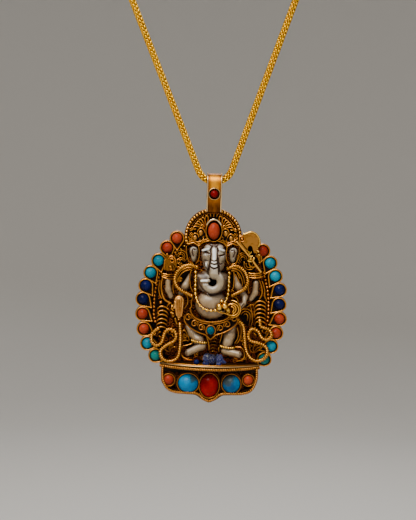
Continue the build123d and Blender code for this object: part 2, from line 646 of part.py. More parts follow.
def make_garland():
    """A strand of beads hanging from the shoulders over the chest and belly, as one round bar."""
    points = []
    for u, v in GARLAND_ROUTE:
        depth = carved_front(TORSO_SECTIONS, min(abs(u), GARLAND_HALF_W), v) + GARLAND_R + GARLAND_LIFT
        points.append(spot(u, v, depth))
    return wire(points, GARLAND_R) - carved(TORSO_SECTIONS, GAP)


def make_bowl():
    """The bowl of sweets: a round dish with a raised rim, and balls in a row over the strand of beads."""
    u, v, depth = BOWL
    top = depth + DISH_T
    dish = slab(Pos(*grid(u, v)) * Circle(BOWL_R), depth, top)
    for ring_r in (BOWL_R - BOWL_WIRE, BOWL_INNER_RING_R):
        centre = Plane(origin=spot(u, v, top), x_dir=(1, 0, 0), z_dir=(0, -1, 0))
        dish += centre * Torus(ring_r, BOWL_WIRE)
    strand = 2 * GARLAND_R + GARLAND_LIFT + SWEET_CLEARANCE
    balls = []
    for right, up, ball_r in SWEETS_ROW + (SWEET_ON_TOP,):
        ball_u, ball_v = near(u, v, right, up)
        over_belly = carved_front(TORSO_SECTIONS, ball_u, ball_v) + strand + ball_r
        over_dish = top + ball_r * SWEET_SEAT
        balls.append(spot(ball_u, ball_v, max(over_belly, over_dish)))
        dish += Pos(*balls[-1]) * Sphere(ball_r)
    for one, two in ((0, 1), (1, 2), (1, 3)):
        along = balls[two] - balls[one]
        dish += extrude(Plane(origin=balls[one], z_dir=along) * Circle(SWEET_JOINT_R), amount=along.length)
    return dish


def on_ledge(u, lift, depth):
    """A point at a height in millimetres above the ledge."""
    return spot(u, (LEDGE_TOP + lift) / V, depth)


def make_mouse():
    """The mouse at the figure's feet: a long body that narrows to the neck and the snout, and two ears."""
    faces = []
    for u, lift, high, depth, deep in MOUSE_SECTIONS:
        plane = Plane(origin=on_ledge(u, lift, depth), x_dir=(0, 0, 1), z_dir=(1, 0, 0))
        faces.append((plane * Ellipse(high, deep)).face())
    body = loft(faces)
    for u, lift, depth in MOUSE_EARS:
        body += Pos(*on_ledge(u, lift, depth)) * Sphere(MOUSE_EAR_R)
    return body


def make_hand():
    """The gilt giving hand: a palm that narrows to the fingers, grooved lengthwise."""
    (palm_u, palm_v, palm_r), (tips_u, tips_v, tips_r) = HAND_PALM, HAND_TIPS
    front_depth = HAND_DEPTH + HAND_T
    face = taper(grid(palm_u, palm_v), palm_r, grid(tips_u, tips_v), tips_r)
    palm = slab(face, HAND_DEPTH, front_depth)
    palm = fillet(palm.faces().sort_by(Axis.Y)[0].edges(), HAND_ROUND)
    for right in HAND_GROOVES:
        line = Pos(*grid(*near(palm_u, HAND_GROOVE_V, right, 0))) * Rectangle(GROOVE_W, GROOVE_L)
        palm -= slab(line, front_depth - GROOVE_DEPTH, front_depth + HAND_T)
    return palm


def make_emblem():
    """The gilt block held by the rear left hand, with a ball on it."""
    block = slab(outline([grid(u, v) for u, v in EMBLEM_EDGE], 0.3), EMBLEM_DEPTH, EMBLEM_DEPTH + EMBLEM_T)
    return block + Pos(*spot(*EMBLEM_BALL, EMBLEM_DEPTH + EMBLEM_T)) * Sphere(EMBLEM_BALL_R)


def make_axe():
    """The axe: a flat blade with a raised edge, and its handle lying across."""
    blade = slab(outline([grid(u, v) for u, v in AXE_EDGE], 0.3), AXE_DEPTH, AXE_DEPTH + AXE_T)
    handle = wire([spot(u, v, AXE_DEPTH + AXE_HANDLE_R) for u, v in AXE_HANDLE[:2]] +
                  [spot(*AXE_HANDLE[2], AXE_DEPTH - AXE_HANDLE_DROP)], AXE_HANDLE_R)
    return blade + handle


def build():
    """Every piece by name."""
    pieces = {
        "chain": make_chain(),
        "clasp": make_clasp(),
        "bail": make_bail(),
        "frame": make_frame(),
        "crown": make_crown(),
        "base": make_base(),
        "ledge": make_ledge(),
        "skirt": make_skirt(),
        "head": make_head(),
        "torso": carved(TORSO_SECTIONS),
        "garland": make_garland(),
        "sweet_bowl": make_bowl(),
        "giving_hand": make_hand(),
        "rear_emblem": make_emblem(),
        "axe": make_axe(),
        "mouse": make_mouse(),
        "lapis_chip": seat_stone(
            CHIP_U, (LEDGE_TOP + GAP + CHIP_R) / V, CHIP_DEPTH, CHIP_R, CHIP_R, CHIP_H, CHIP_DOME),
    }
    fore = AXIS_DEPTH + BAIL_R + BAIL_T
    pieces["bail_stone"] = seat_stone(
        *BAIL_STONE_PLACE, fore + SETTING_GAP, BAIL_STONE_R, BAIL_STONE_R, BAIL_CUP_H * 0.6, BAIL_DOME)
    for side, places in (("left", RIM_LEFT), ("right", RIM_RIGHT)):
        for number, (stone, u, v) in enumerate(places, 1):
            pieces[f"rim_{stone}_{side}_{number}"] = seat_stone(
                u, v, CUP_FLOOR + SETTING_GAP, RIM_STONE_R, RIM_STONE_R,
                RIM_CUP_H - CUP_FLOOR - SETTING_GAP, RIM_DOME)
    for name, u, v, half_w, half_h in BASE_STONES:
        pieces[name] = seat_stone(
            u, v, BASE_STONE_FLOOR + SETTING_GAP, half_w, half_h,
            BASE_DEPTH - BASE_STONE_FLOOR - SETTING_GAP, min(half_w, half_h) * 0.62)
    u, v, half_w, half_h = CROWN_STONE
    pieces["crown_stone"] = seat_stone(
        u, v, CROWN_STONE_FLOOR + SETTING_GAP, half_w, half_h,
        CROWN_CUP_TOP - CROWN_STONE_FLOOR - SETTING_GAP * 5, CROWN_DOME)
    u, v, half_w, half_h = SKIRT_STONE
    pieces["skirt_stone"] = seat_stone(
        u, v, SKIRT_DEPTH + SKIRT_FLOOR + SETTING_GAP, half_w, half_h, SKIRT_T - SETTING_GAP, SKIRT_DOME)
    for name in EARS:
        pieces[name] = make_ear(name)
    for name, ends in ARMS.items():
        pieces[name] = limb(ends)
    pieces["arm_front_right"] += limb((ARMS["arm_front_right"][-1],) + HAND_RIGHT)
    for name, ends in LEGS.items():
        pieces[name] = limb(ends)
    for name, (u, v, depth, ring_r, turn) in ANKLETS.items():
        ring = Plane(origin=spot(u, v, depth), x_dir=(1, 0, 0), z_dir=(0, 0, 1)) * Rot(0, turn, 0)
        leg = LEGS[name.replace("anklet", "leg")]
        pieces[name] = ring * Torus(ring_r, ANKLET_R) - limb(leg, GAP)
    for name, route in (("ribbon_left", RIBBON_LEFT), ("ribbon_right", RIBBON_RIGHT)):
        pieces[name] = wire([spot(u, v, RIBBON_DEPTH) for u, v in route], RIBBON_R)
    for name, route in (("scroll_left", SCROLL_LEFT), ("scroll_right", SCROLL_RIGHT)):
        pieces[name] = wire([spot(u, v, SCROLL_DEPTH) for u, v in route], SCROLL_R)
    return pieces


os.makedirs("parts", exist_ok=True)
for piece_name, piece in build().items():
    export_step(piece, f"parts/{piece_name}.step")
print("bail axis", round(PENDANT_X, 3), 0, round(AXIS_Z, 3), "tip", round(TIP_Z, 3))
print("loop radius", round(LOOP_R, 3), "grid", round(U, 4), round(V, 4), "back", round(BACK_Y, 3))
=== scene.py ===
"""Looks of the filigree pendant on its chain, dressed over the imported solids.

Shapes are worked out in the pendant's own grid: millimetres to the right of its middle line, up from
the tip of its base, and forward of the plate's back. Left and right are as seen from the front.
"""

import json
import random

import bpy
import numpy as np
from mathutils import Matrix, Vector
from mathutils.bvhtree import BVHTree


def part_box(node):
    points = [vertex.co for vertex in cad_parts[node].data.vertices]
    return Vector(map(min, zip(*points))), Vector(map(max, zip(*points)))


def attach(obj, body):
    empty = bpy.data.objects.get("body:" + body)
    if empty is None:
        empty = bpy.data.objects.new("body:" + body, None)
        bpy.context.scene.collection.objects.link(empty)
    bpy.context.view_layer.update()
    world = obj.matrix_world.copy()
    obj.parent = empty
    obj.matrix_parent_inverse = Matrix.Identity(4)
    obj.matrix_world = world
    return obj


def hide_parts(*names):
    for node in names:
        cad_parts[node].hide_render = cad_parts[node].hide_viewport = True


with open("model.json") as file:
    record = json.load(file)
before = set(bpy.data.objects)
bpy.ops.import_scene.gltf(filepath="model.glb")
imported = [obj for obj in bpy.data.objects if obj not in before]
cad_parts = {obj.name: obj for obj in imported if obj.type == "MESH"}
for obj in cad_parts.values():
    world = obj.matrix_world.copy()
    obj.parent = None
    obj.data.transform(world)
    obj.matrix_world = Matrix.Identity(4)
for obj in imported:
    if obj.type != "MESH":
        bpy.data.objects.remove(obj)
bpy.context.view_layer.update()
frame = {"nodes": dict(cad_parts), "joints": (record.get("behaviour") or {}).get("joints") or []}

random.seed(7)

MM = 0.001
swing = frame["joints"][0]
CENTRE_X = swing["pos_m"][0]
AXIS_UP = 52.0  # the bail's axis above the tip of the base
TIP_Z = swing["pos_m"][2] - AXIS_UP * MM
BACK_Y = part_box("base")[1].y


def in_frame(places):
    """Grid places as metres in the shared frame."""
    p = np.asarray(places, float).reshape(-1, 3)
    return np.column_stack((CENTRE_X + p[:, 0] * MM, BACK_Y - p[:, 2] * MM, TIP_Z + p[:, 1] * MM))


def in_grid(points):
    """Points of the shared frame as grid places."""
    p = np.asarray(points, float).reshape(-1, 3)
    return np.column_stack(((p[:, 0] - CENTRE_X) / MM, (p[:, 2] - TIP_Z) / MM, (BACK_Y - p[:, 1]) / MM))


# Finishes
def colour(code):
    """An sRGB hex value as linear red, green, blue and alpha."""
    parts = [int(code[i:i + 2], 16) / 255 for i in (1, 3, 5)]
    return tuple(c / 12.92 if c <= 0.04045 else ((c + 0.055) / 1.055) ** 2.4 for c in parts) + (1.0,)


MIX_SHARE, MIX_A, MIX_B, MIX_OUT = 0, 6, 7, 2  # a Mix node's sockets for colours


class Finish:
    """A new material with its node tree, its shader and the piece's own coordinates."""

    def __init__(self, name):
        self.material = bpy.data.materials.new(name)
        self.material.use_nodes = True
        self.tree = self.material.node_tree
        self.tree.nodes.clear()
        self.shader = self.node("ShaderNodeBsdfPrincipled")
        self.node("ShaderNodeOutputMaterial", {"Surface": self.shader.outputs["BSDF"]})
        coords = self.node("ShaderNodeTexCoord").outputs
        self.place, self.normal = coords["Object"], coords["Normal"]

    def plug(self, made, sockets):
        """Sets a node's inputs to values or links them to outputs."""
        for name, value in sockets.items():
            if isinstance(value, bpy.types.NodeSocket):
                self.tree.links.new(value, made.inputs[name])
            else:
                made.inputs[name].default_value = value

    def node(self, kind, sockets=None, **settings):
        """Adds a node: settings are its own properties."""
        made = self.tree.nodes.new(kind)
        for name, value in settings.items():
            setattr(made, name, value)
        self.plug(made, sockets or {})
        return made

    def along(self, vector, axis):
        """One of a vector's three parts."""
        return self.node("ShaderNodeSeparateXYZ", {"Vector": vector}).outputs[axis]

    def ramp(self, value, low, high, to_low=0.0, to_high=1.0, **settings):
        """A value between two bounds as one between two others."""
        return self.node("ShaderNodeMapRange", {
            "Value": value, "From Min": low, "From Max": high, "To Min": to_low, "To Max": to_high},
            **settings).outputs["Result"]

    def maths(self, operation, *values, clamped=False):
        """A sum on values or outputs."""
        return self.node("ShaderNodeMath", dict(enumerate(values)), operation=operation,
                         use_clamp=clamped).outputs[0]

    def mix(self, share, *ends):
        """Two colours, each a hex value or an output, mixed by a share."""
        first, second = (colour(end) if isinstance(end, str) else end for end in ends)
        return self.node("ShaderNodeMix", {MIX_SHARE: share, MIX_A: first, MIX_B: second},
                         data_type="RGBA").outputs[MIX_OUT]

    def noise(self, grain_mm, vector=None, **sockets):
        """Noise with grains of a size."""
        return self.node("ShaderNodeTexNoise", {
            "Vector": vector or self.place, "Scale": 1 / (grain_mm * MM), **sockets}).outputs["Fac"]

    def streaks(self, grain_mm, squeeze, **sockets):
        """Noise drawn out upward."""
        drawn_out = self.node("ShaderNodeMapping", {"Vector": self.place, "Scale": (1.0, 1.0, squeeze)})
        return self.noise(grain_mm, drawn_out.outputs["Vector"], **sockets)

    def openness(self, reach_mm):
        """How open a place is, feeling for walls within a reach."""
        return self.node("ShaderNodeAmbientOcclusion", {"Distance": reach_mm * MM}, samples=4).outputs["AO"]

    def bump(self, height, strength, depth_mm):
        """A normal bent by a height."""
        return self.node("ShaderNodeBump", {
            "Height": height, "Strength": strength, "Distance": depth_mm * MM}).outputs["Normal"]

    def shaded(self, sockets):
        """The material, with its shader's inputs set."""
        self.plug(self.shader, sockets)
        return self.material


def gilt(name, dark, mid, bright, low, high, roughness, wear=0.4, hollow=0.4):
    """Gilded metal, polished where it stands proud, and darker where it lies deep, near walls and where it
    turns away from the front: partly patina left in the hollows, partly painted shade.

    dark, mid and bright are its colours; low and high are the depths, forward of the plate's back in
    millimetres, between which the darkening, partly patina and partly painted shade, gives way; hollow
    is how far, in millimetres, that darkening feels for walls beside it.
    """
    f = Finish(name)
    # Darker where it lies deep: patina left in the hollows, with painted shade.
    depth = f.ramp(f.along(f.place, "Y"), BACK_Y - low * MM, BACK_Y - high * MM, 0.35, 1.0)
    # Painted shade: faces that turn away from the front are darker, as if lit from the front.
    turned = f.ramp(f.along(f.normal, "Y"), 0.1, -0.95, 0.12, 1.0)
    # Darker near walls: patina in the hollows, with painted shade where the walls would shade it.
    clear = f.ramp(f.openness(hollow), 0.2, 0.75)
    grain = f.noise(0.9, Detail=4.0, Roughness=0.6)
    lit = f.maths("MULTIPLY", f.maths("MULTIPLY", turned, depth), clear)
    level = f.maths("ADD", lit, f.ramp(grain, 0.3, 0.7, -wear * 0.3, wear * 0.3), clamped=True)
    body = f.mix(f.ramp(level, 0.08, 0.55), dark, mid)
    return f.shaded({
        "Base Color": f.mix(f.ramp(level, 0.55, 0.98), body, bright), "Metallic": 1.0,
        "Roughness": f.ramp(level, 0.1, 0.8, 0.62, roughness), "Normal": f.bump(grain, 0.25, 0.03)})


def make_plate_finish():
    """The plate and its cups: blackened in front, plain gilding behind and on the outer walls."""
    f = Finish("blackened_plate")
    grain = f.noise(0.7, Detail=5.0, Roughness=0.65)
    behind = f.ramp(f.along(f.normal, "Y"), -0.75, -0.3)
    ground = f.mix(grain, "#030201", "#1c0e05")
    plain = f.mix(grain, "#7c4716", "#c98c3e")
    return f.shaded({
        "Base Color": f.mix(behind, ground, plain), "Metallic": behind, "Specular IOR Level": 0.05,
        "Roughness": f.ramp(grain, 0.3, 0.7, 0.5, 0.32), "Normal": f.bump(grain, 0.3, 0.04)})


def make_bail_finish():
    """The bail's strip: gold above its stone, painted darker as shade below it, under the arch and along its
    sides.
    """
    f = Finish("bail_gilt_painted_shade")
    soft = {"interpolation_type": "SMOOTHSTEP"}
    height = f.along(f.place, "Z")
    # Painted shade: darker from the stone downward.
    above = f.ramp(height, TIP_Z + 45.4 * MM, TIP_Z + 51.0 * MM, 0.12, 1.0, **soft)
    # Painted shade over the top of the arch, dimming its reflection.
    below = f.ramp(height, TIP_Z + 54.6 * MM, TIP_Z + 53.3 * MM, 0.25, 1.0, **soft)
    across = f.maths("ABSOLUTE", f.maths("SUBTRACT", f.along(f.place, "X"), CENTRE_X))
    # Painted shade: darker along the strip's sides, brightest in the middle.
    middle = f.ramp(across, 1.4 * MM, 0.5 * MM, 0.45, 1.0, **soft)
    streaks = f.streaks(0.8, 0.35, Detail=4.0)
    level = f.maths("MULTIPLY", f.maths("MULTIPLY", above, below), middle)
    level = f.maths("ADD", level, f.ramp(streaks, 0.3, 0.7, -0.18, 0.18), clamped=True)
    body = f.mix(f.ramp(level, 0.0, 0.5), "#3c1a04", "#a4601a")
    return f.shaded({
        "Base Color": f.mix(f.ramp(level, 0.5, 1.0), body, "#e89c1c"), "Metallic": 1.0,
        "Roughness": 0.46, "Normal": f.bump(streaks, 0.3, 0.05)})


def mottled(name, grain_mm, dark, light, **sockets):
    """Two tones in fine patches: the finish of the chain and of the painted black shadow."""
    f = Finish(name)
    grain = {"Vector": f.place, "Scale": 1 / (grain_mm * MM)}
    patches = f.node("ShaderNodeTexNoise", grain).outputs["Fac"]
    return f.shaded({"Base Color": f.mix(patches, dark, light), **sockets})


def make_bone(name, deep, pale_tone, highlight_tone, top_highlight_share):
    """Carved bone: brown wax in the cuts, stains and painted shade in the brown marks, a cool pale painted
    highlight on faces turned up and along the highlight marks, and browner painted shade at edges turned from
    the front and near walls.
    """
    f = Finish(name)
    cuts = f.node("ShaderNodeAttribute", attribute_name="cuts").outputs["Fac"]
    turned = f.ramp(f.along(f.normal, "Y"), -0.75, -0.1)
    # Bone's grain runs along the tooth or limb, in fine streaks.
    streaks = f.streaks(0.5, 0.3, Detail=5.0, Roughness=0.65)
    stains = f.noise(2.2, Detail=3.0)
    # Faces turned up get a painted highlight, paler and cooler than the rest, as if lit from above.
    upward = f.ramp(f.along(f.normal, "Z"), 0.05, 0.8, 0.0, top_highlight_share)
    painted_highlight = f.maths("MAXIMUM", upward, f.ramp(cuts, 0.0, -0.8))
    pale = f.mix(painted_highlight, f.mix(streaks, deep, pale_tone), highlight_tone)
    # Brown from the cuts' attribute, and painted shade at the edges that turn away from the front.
    wax_and_shade = f.maths("MAXIMUM", cuts, f.maths("MULTIPLY", turned, 0.75))
    wax_and_shade = f.maths("ADD", wax_and_shade, f.ramp(stains, 0.35, 0.75, 0.0, 0.35), clamped=True)
    # Painted shade near walls, where the bone lies beside other parts.
    wax_and_shade = f.maths("ADD", wax_and_shade, f.ramp(f.openness(1.1), 0.85, 0.3, 0.0, 0.9), clamped=True)
    return f.shaded({
        "Base Color": f.mix(wax_and_shade, pale, "#3a1f0a"), "Normal": f.bump(streaks, 0.2, 0.04),
        "Roughness": 0.32, "IOR": 1.54, "Subsurface Weight": 0.15, "Subsurface Radius": (1.0, 0.7, 0.5),
        "Subsurface Scale": 0.6 * MM})


def polished_stone(name, deep, mid, vein, vein_share, spot_mm, ior, patch=None):
    """A polished cabochon: two tones in soft patches, with veins or matrix over a share of it.

    patch is a flat place in the grid and a reach in millimetres: more of the matrix gathers there.
    """
    f = Finish(name)
    patches = f.noise(spot_mm, Detail=4.0, Roughness=0.55)
    matrix = f.noise(spot_mm * 0.45, Detail=6.0, Distortion=1.4)
    # From one stone to the next the tone drifts.
    drift = f.ramp(f.noise(4.5, Detail=0.0), 0.3, 0.7, -0.4, 0.4)
    body = f.mix(f.maths("ADD", patches, drift, clamped=True), deep, mid)
    share = f.ramp(matrix, 0.74 - vein_share, 0.84 - vein_share, 0.0, 0.8)
    if patch:
        flat = f.node("ShaderNodeVectorMath", {0: f.place, 1: (1.0, 0.0, 1.0)}, operation="MULTIPLY")
        middle = in_frame((patch[0], patch[1], 0.0))[0] * (1.0, 0.0, 1.0)
        apart = f.node("ShaderNodeVectorMath", {0: flat.outputs["Vector"], 1: middle}, operation="DISTANCE")
        ragged = f.maths("MULTIPLY_ADD", matrix, -1.6 * MM, 0.8 * MM)
        edge = f.maths("ADD", apart.outputs["Value"], ragged)
        share = f.maths("MAXIMUM", share, f.ramp(edge, patch[2] * MM, patch[2] * 0.55 * MM, 0.0, 0.85))
    return f.shaded({
        "Base Color": f.mix(share, body, vein), "Roughness": 0.27, "IOR": ior, "Specular IOR Level": 0.08})


# Cast and drawn silver, gilded and then blackened: brown in the hollows, partly patina and partly painted
# shade, warm gold on the ridges.
antique_gilt = gilt("antique_gilt", "#1c0802", "#84440e", "#dc923a", 0.2, 2.4, 0.32)
# The finest scrolls, which lie deep on the plate and stay dark: partly patina, partly painted shade.
deep_gilt = gilt("deep_gilt", "#180701", "#8c4412", "#c8742a", 0.6, 2.2, 0.36)
# Bronze-coloured gilding on thicker work that stands half proud.
worn_bronze = gilt("worn_bronze", "#240c02", "#8c4410", "#dc8c38", 0.0, 2.0, 0.32)
# Gilding where hands polish it: applied strands and wire rings.
worn_gilt = gilt("worn_gilt", "#341402", "#9c5814", "#f2ac44", 0.0, 3.0, 0.28, 0.3)
# Painted highlight: brighter gilding on the beads and the granules, which catch the light first, and on the
# axe's raised edge and grip.
bright_gilt = gilt("bright_gilt", "#4c2006", "#c07a22", "#ffc850", 0.0, 2.0, 0.24, 0.2)
# The ropes of the base and of the ledge.
rope_gilt = gilt("rope_gilt", "#200e03", "#8c5018", "#c0823a", 1.0, 4.0, 0.38)
# The dish, painted dark as shade under the sweets heaped on it.
bowl_gilt_painted_shade = gilt("bowl_gilt_painted_shade", "#140601", "#6a360a", "#ffc850", 6.2, 7.4, 0.26, 0.3)
# Dull, reddish gilding round the settings of the base.
dull_gilt = gilt("dull_gilt", "#1c0a03", "#74400f", "#a4662a", 1.8, 4.6, 0.38, 0.5)
# Tan gilding with a dull grain, on the hand, the crown's leaves and the flat faces of axe and emblem.
tan_gilt = gilt("tan_gilt", "#381a06", "#a0662a", "#e0a050", 1.8, 4.2, 0.42)
tan_gilt_low = gilt("tan_leaf_gilt", "#2c1604", "#80501c", "#c08438", 0.8, 2.2, 0.4)
tan_plate = gilt("tan_plate", "#2c1604", "#7c4c1a", "#a8722e", 0.0, 2.0, 0.48, 1.2)
emblem_gilt = gilt("emblem_gilt", "#1c0c02", "#583208", "#8c5a1e", 0.0, 2.0, 0.45, 1.4)
# The skirt's wires, browner than the rest though they stand high.
skirt_gilt = gilt("skirt_gilt", "#1a0801", "#783e0e", "#c07c34", 2.6, 5.2, 0.34)
# Pale edges: gilding rubbed through to pale silver, with a painted highlight where the edges catch the light.
bail_edge = gilt("bail_edge", "#5c3c18", "#c09458", "#f0d098", -2.0, 0.0, 0.3, 0.3)
rubbed_and_highlit_edge = gilt("rubbed_and_highlit_edge", "#5a3c18", "#c8a468", "#f4dca8", -1.0, 1.0, 0.26, 0.25)
rubbed_and_highlit_bronze = gilt("rubbed_and_highlit_bronze", "#4a2c10", "#a87c44", "#d8b478", -1.0, 1.0, 0.34, 0.4)
bail_gilt_painted_shade = make_bail_finish()
blackened_plate = make_plate_finish()
# Polished gold plate on the links: clean yellow; the core seen between them is painted darker, as shade.
chain_gold = mottled("polished_chain_gold", 1.2, "#dc9c0a", "#ffcc1c", Metallic=1.0, Roughness=0.34)
chain_core = mottled("shaded_chain_gold", 0.5, "#5a3402", "#986404", Metallic=1.0, Roughness=0.5)
# Painted shadow: black put in the trunk's hole, the axe's notch, the emblem's gaps, between the sweets and
# round the stones under the settings' lips, where there is only shade.
painted_shadow_black = mottled("painted_shadow_black", 0.5, "#010101", "#080402", **{"Roughness": 0.7, "Specular IOR Level": 0.0})
carved_bone = make_bone("carved_bone", "#7a6442", "#b8aa8c", "#eef0f0", 0.55)
# The body and limbs keep more wax and look warmer.
warm_bone = make_bone("waxed_bone", "#7a5c38", "#b09870", "#dcd2c0", 0.35)
# Coral: a warm orange red with paler growth patches.
red_coral = polished_stone("polished_coral", "#7c2012", "#ac4224", "#ba6850", 0.09, 0.7, 1.49)
# The darkest coral, of the egg and of the bail's stone.
deep_coral = polished_stone("deep_red_coral", "#5c0302", "#9c0c0a", "#b03028", 0.0, 1.2, 1.49)
# Turquoise: sky blue with thin dark matrix. On the base the matrix gathers near one edge.
turquoise = polished_stone("turquoise", "#004456", "#008ca8", "#142422", 0.08, 0.8, 1.61)
base_turquoise = polished_stone("base_turquoise", "#00487a", "#0284b8", "#2c3830", 0.03, 1.6, 1.61,
                                patch=(-3.8, 6.0, 1.3))
patched_turquoise = polished_stone("patched_turquoise", "#00487a", "#0284b8", "#3a4034", 0.03, 1.6, 1.61,
                                   patch=(4.3, 6.0, 2.0))
green_turquoise = polished_stone("green_turquoise", "#02504a", "#067670", "#33291a", 0.04, 0.8, 1.61)
# Lapis: deep blue with grey calcite clouds.
lapis = polished_stone("lapis_lazuli", "#03051c", "#0c1650", "#3c4878", 0.0, 0.6, 1.5)
# The mouse's lapis, rougher and mottled with grey calcite.
rough_lapis = polished_stone("rough_lapis", "#08080e", "#1a2360", "#a09c96", 0.18, 0.5, 1.5)


# Shapes
BOTH_SIDES = (1, -1)   # as drawn, and mirrored
SPAN_POINTS = 24       # points on a smooth line from one given point to the next
RIB_CORE = 0.62        # the core inside a strand of ribs, as a share of their radius


def smooth(points, step=0.2, closed=False):
    """A smooth line through points, as evenly spaced points."""
    p = np.asarray(points, float)
    if closed:
        p = np.vstack((p[-1], p, p[0], p[1]))
    else:
        p = np.vstack((2 * p[0] - p[1], p, 2 * p[-1] - p[-2]))
    line = []
    for a, b, c, d in zip(p, p[1:], p[2:], p[3:]):
        t = np.linspace(0, 1, SPAN_POINTS, endpoint=False)[:, None]
        line.append(0.5 * (2 * b + (c - a) * t + (2 * a - 5 * b + 4 * c - d) * t**2
                           + (3 * b - a - 3 * c + d) * t**3))
    line = np.vstack(line + [p[-2][None]])
    return evenly(line, step)


def evenly(line, step):
    """The same line with its points a step apart."""
    along = np.concatenate(([0], np.cumsum(np.linalg.norm(np.diff(line, axis=0), axis=1))))
    count = max(2, round(along[-1] / step) + 1)
    marks = np.linspace(0, along[-1], count)
    return np.column_stack([np.interp(marks, along, line[:, k]) for k in range(line.shape[1])])


def at_depth(flat, depth):
    """Flat points with a depth, or with one that runs from a first to a last value."""
    flat = np.asarray(flat, float)
    if np.ndim(depth):
        depth = np.interp(np.linspace(0, 1, len(flat)), np.linspace(0, 1, len(depth)), depth)
    return np.column_stack((flat, np.broadcast_to(depth, len(flat))))


def turn(u, v, radius, start, end, squash=1.0, step=12.0):
    """Flat points round a middle, from one angle to another, with a radius that may run to another."""
    count = max(3, int(abs(end - start) / step) + 1)
    angle = np.radians(np.linspace(start, end, count))
    reach = np.linspace(*(radius if np.ndim(radius) else (radius, radius)), count)
    return np.column_stack((u + reach * np.cos(angle), v + reach * squash * np.sin(angle)))


def frame_along(line, lift, closed):
    """Tangent, sideways and raised directions along a line."""
    if closed:
        ahead = np.roll(line, -1, axis=0) - np.roll(line, 1, axis=0)
    else:
        ahead = np.gradient(line, axis=0)
    ahead /= np.maximum(np.linalg.norm(ahead, axis=1), 1e-9)[:, None]
    side = np.cross(ahead, np.asarray(lift, float))
    side /= np.maximum(np.linalg.norm(side, axis=1), 1e-9)[:, None]
    return ahead, side, np.cross(side, ahead)


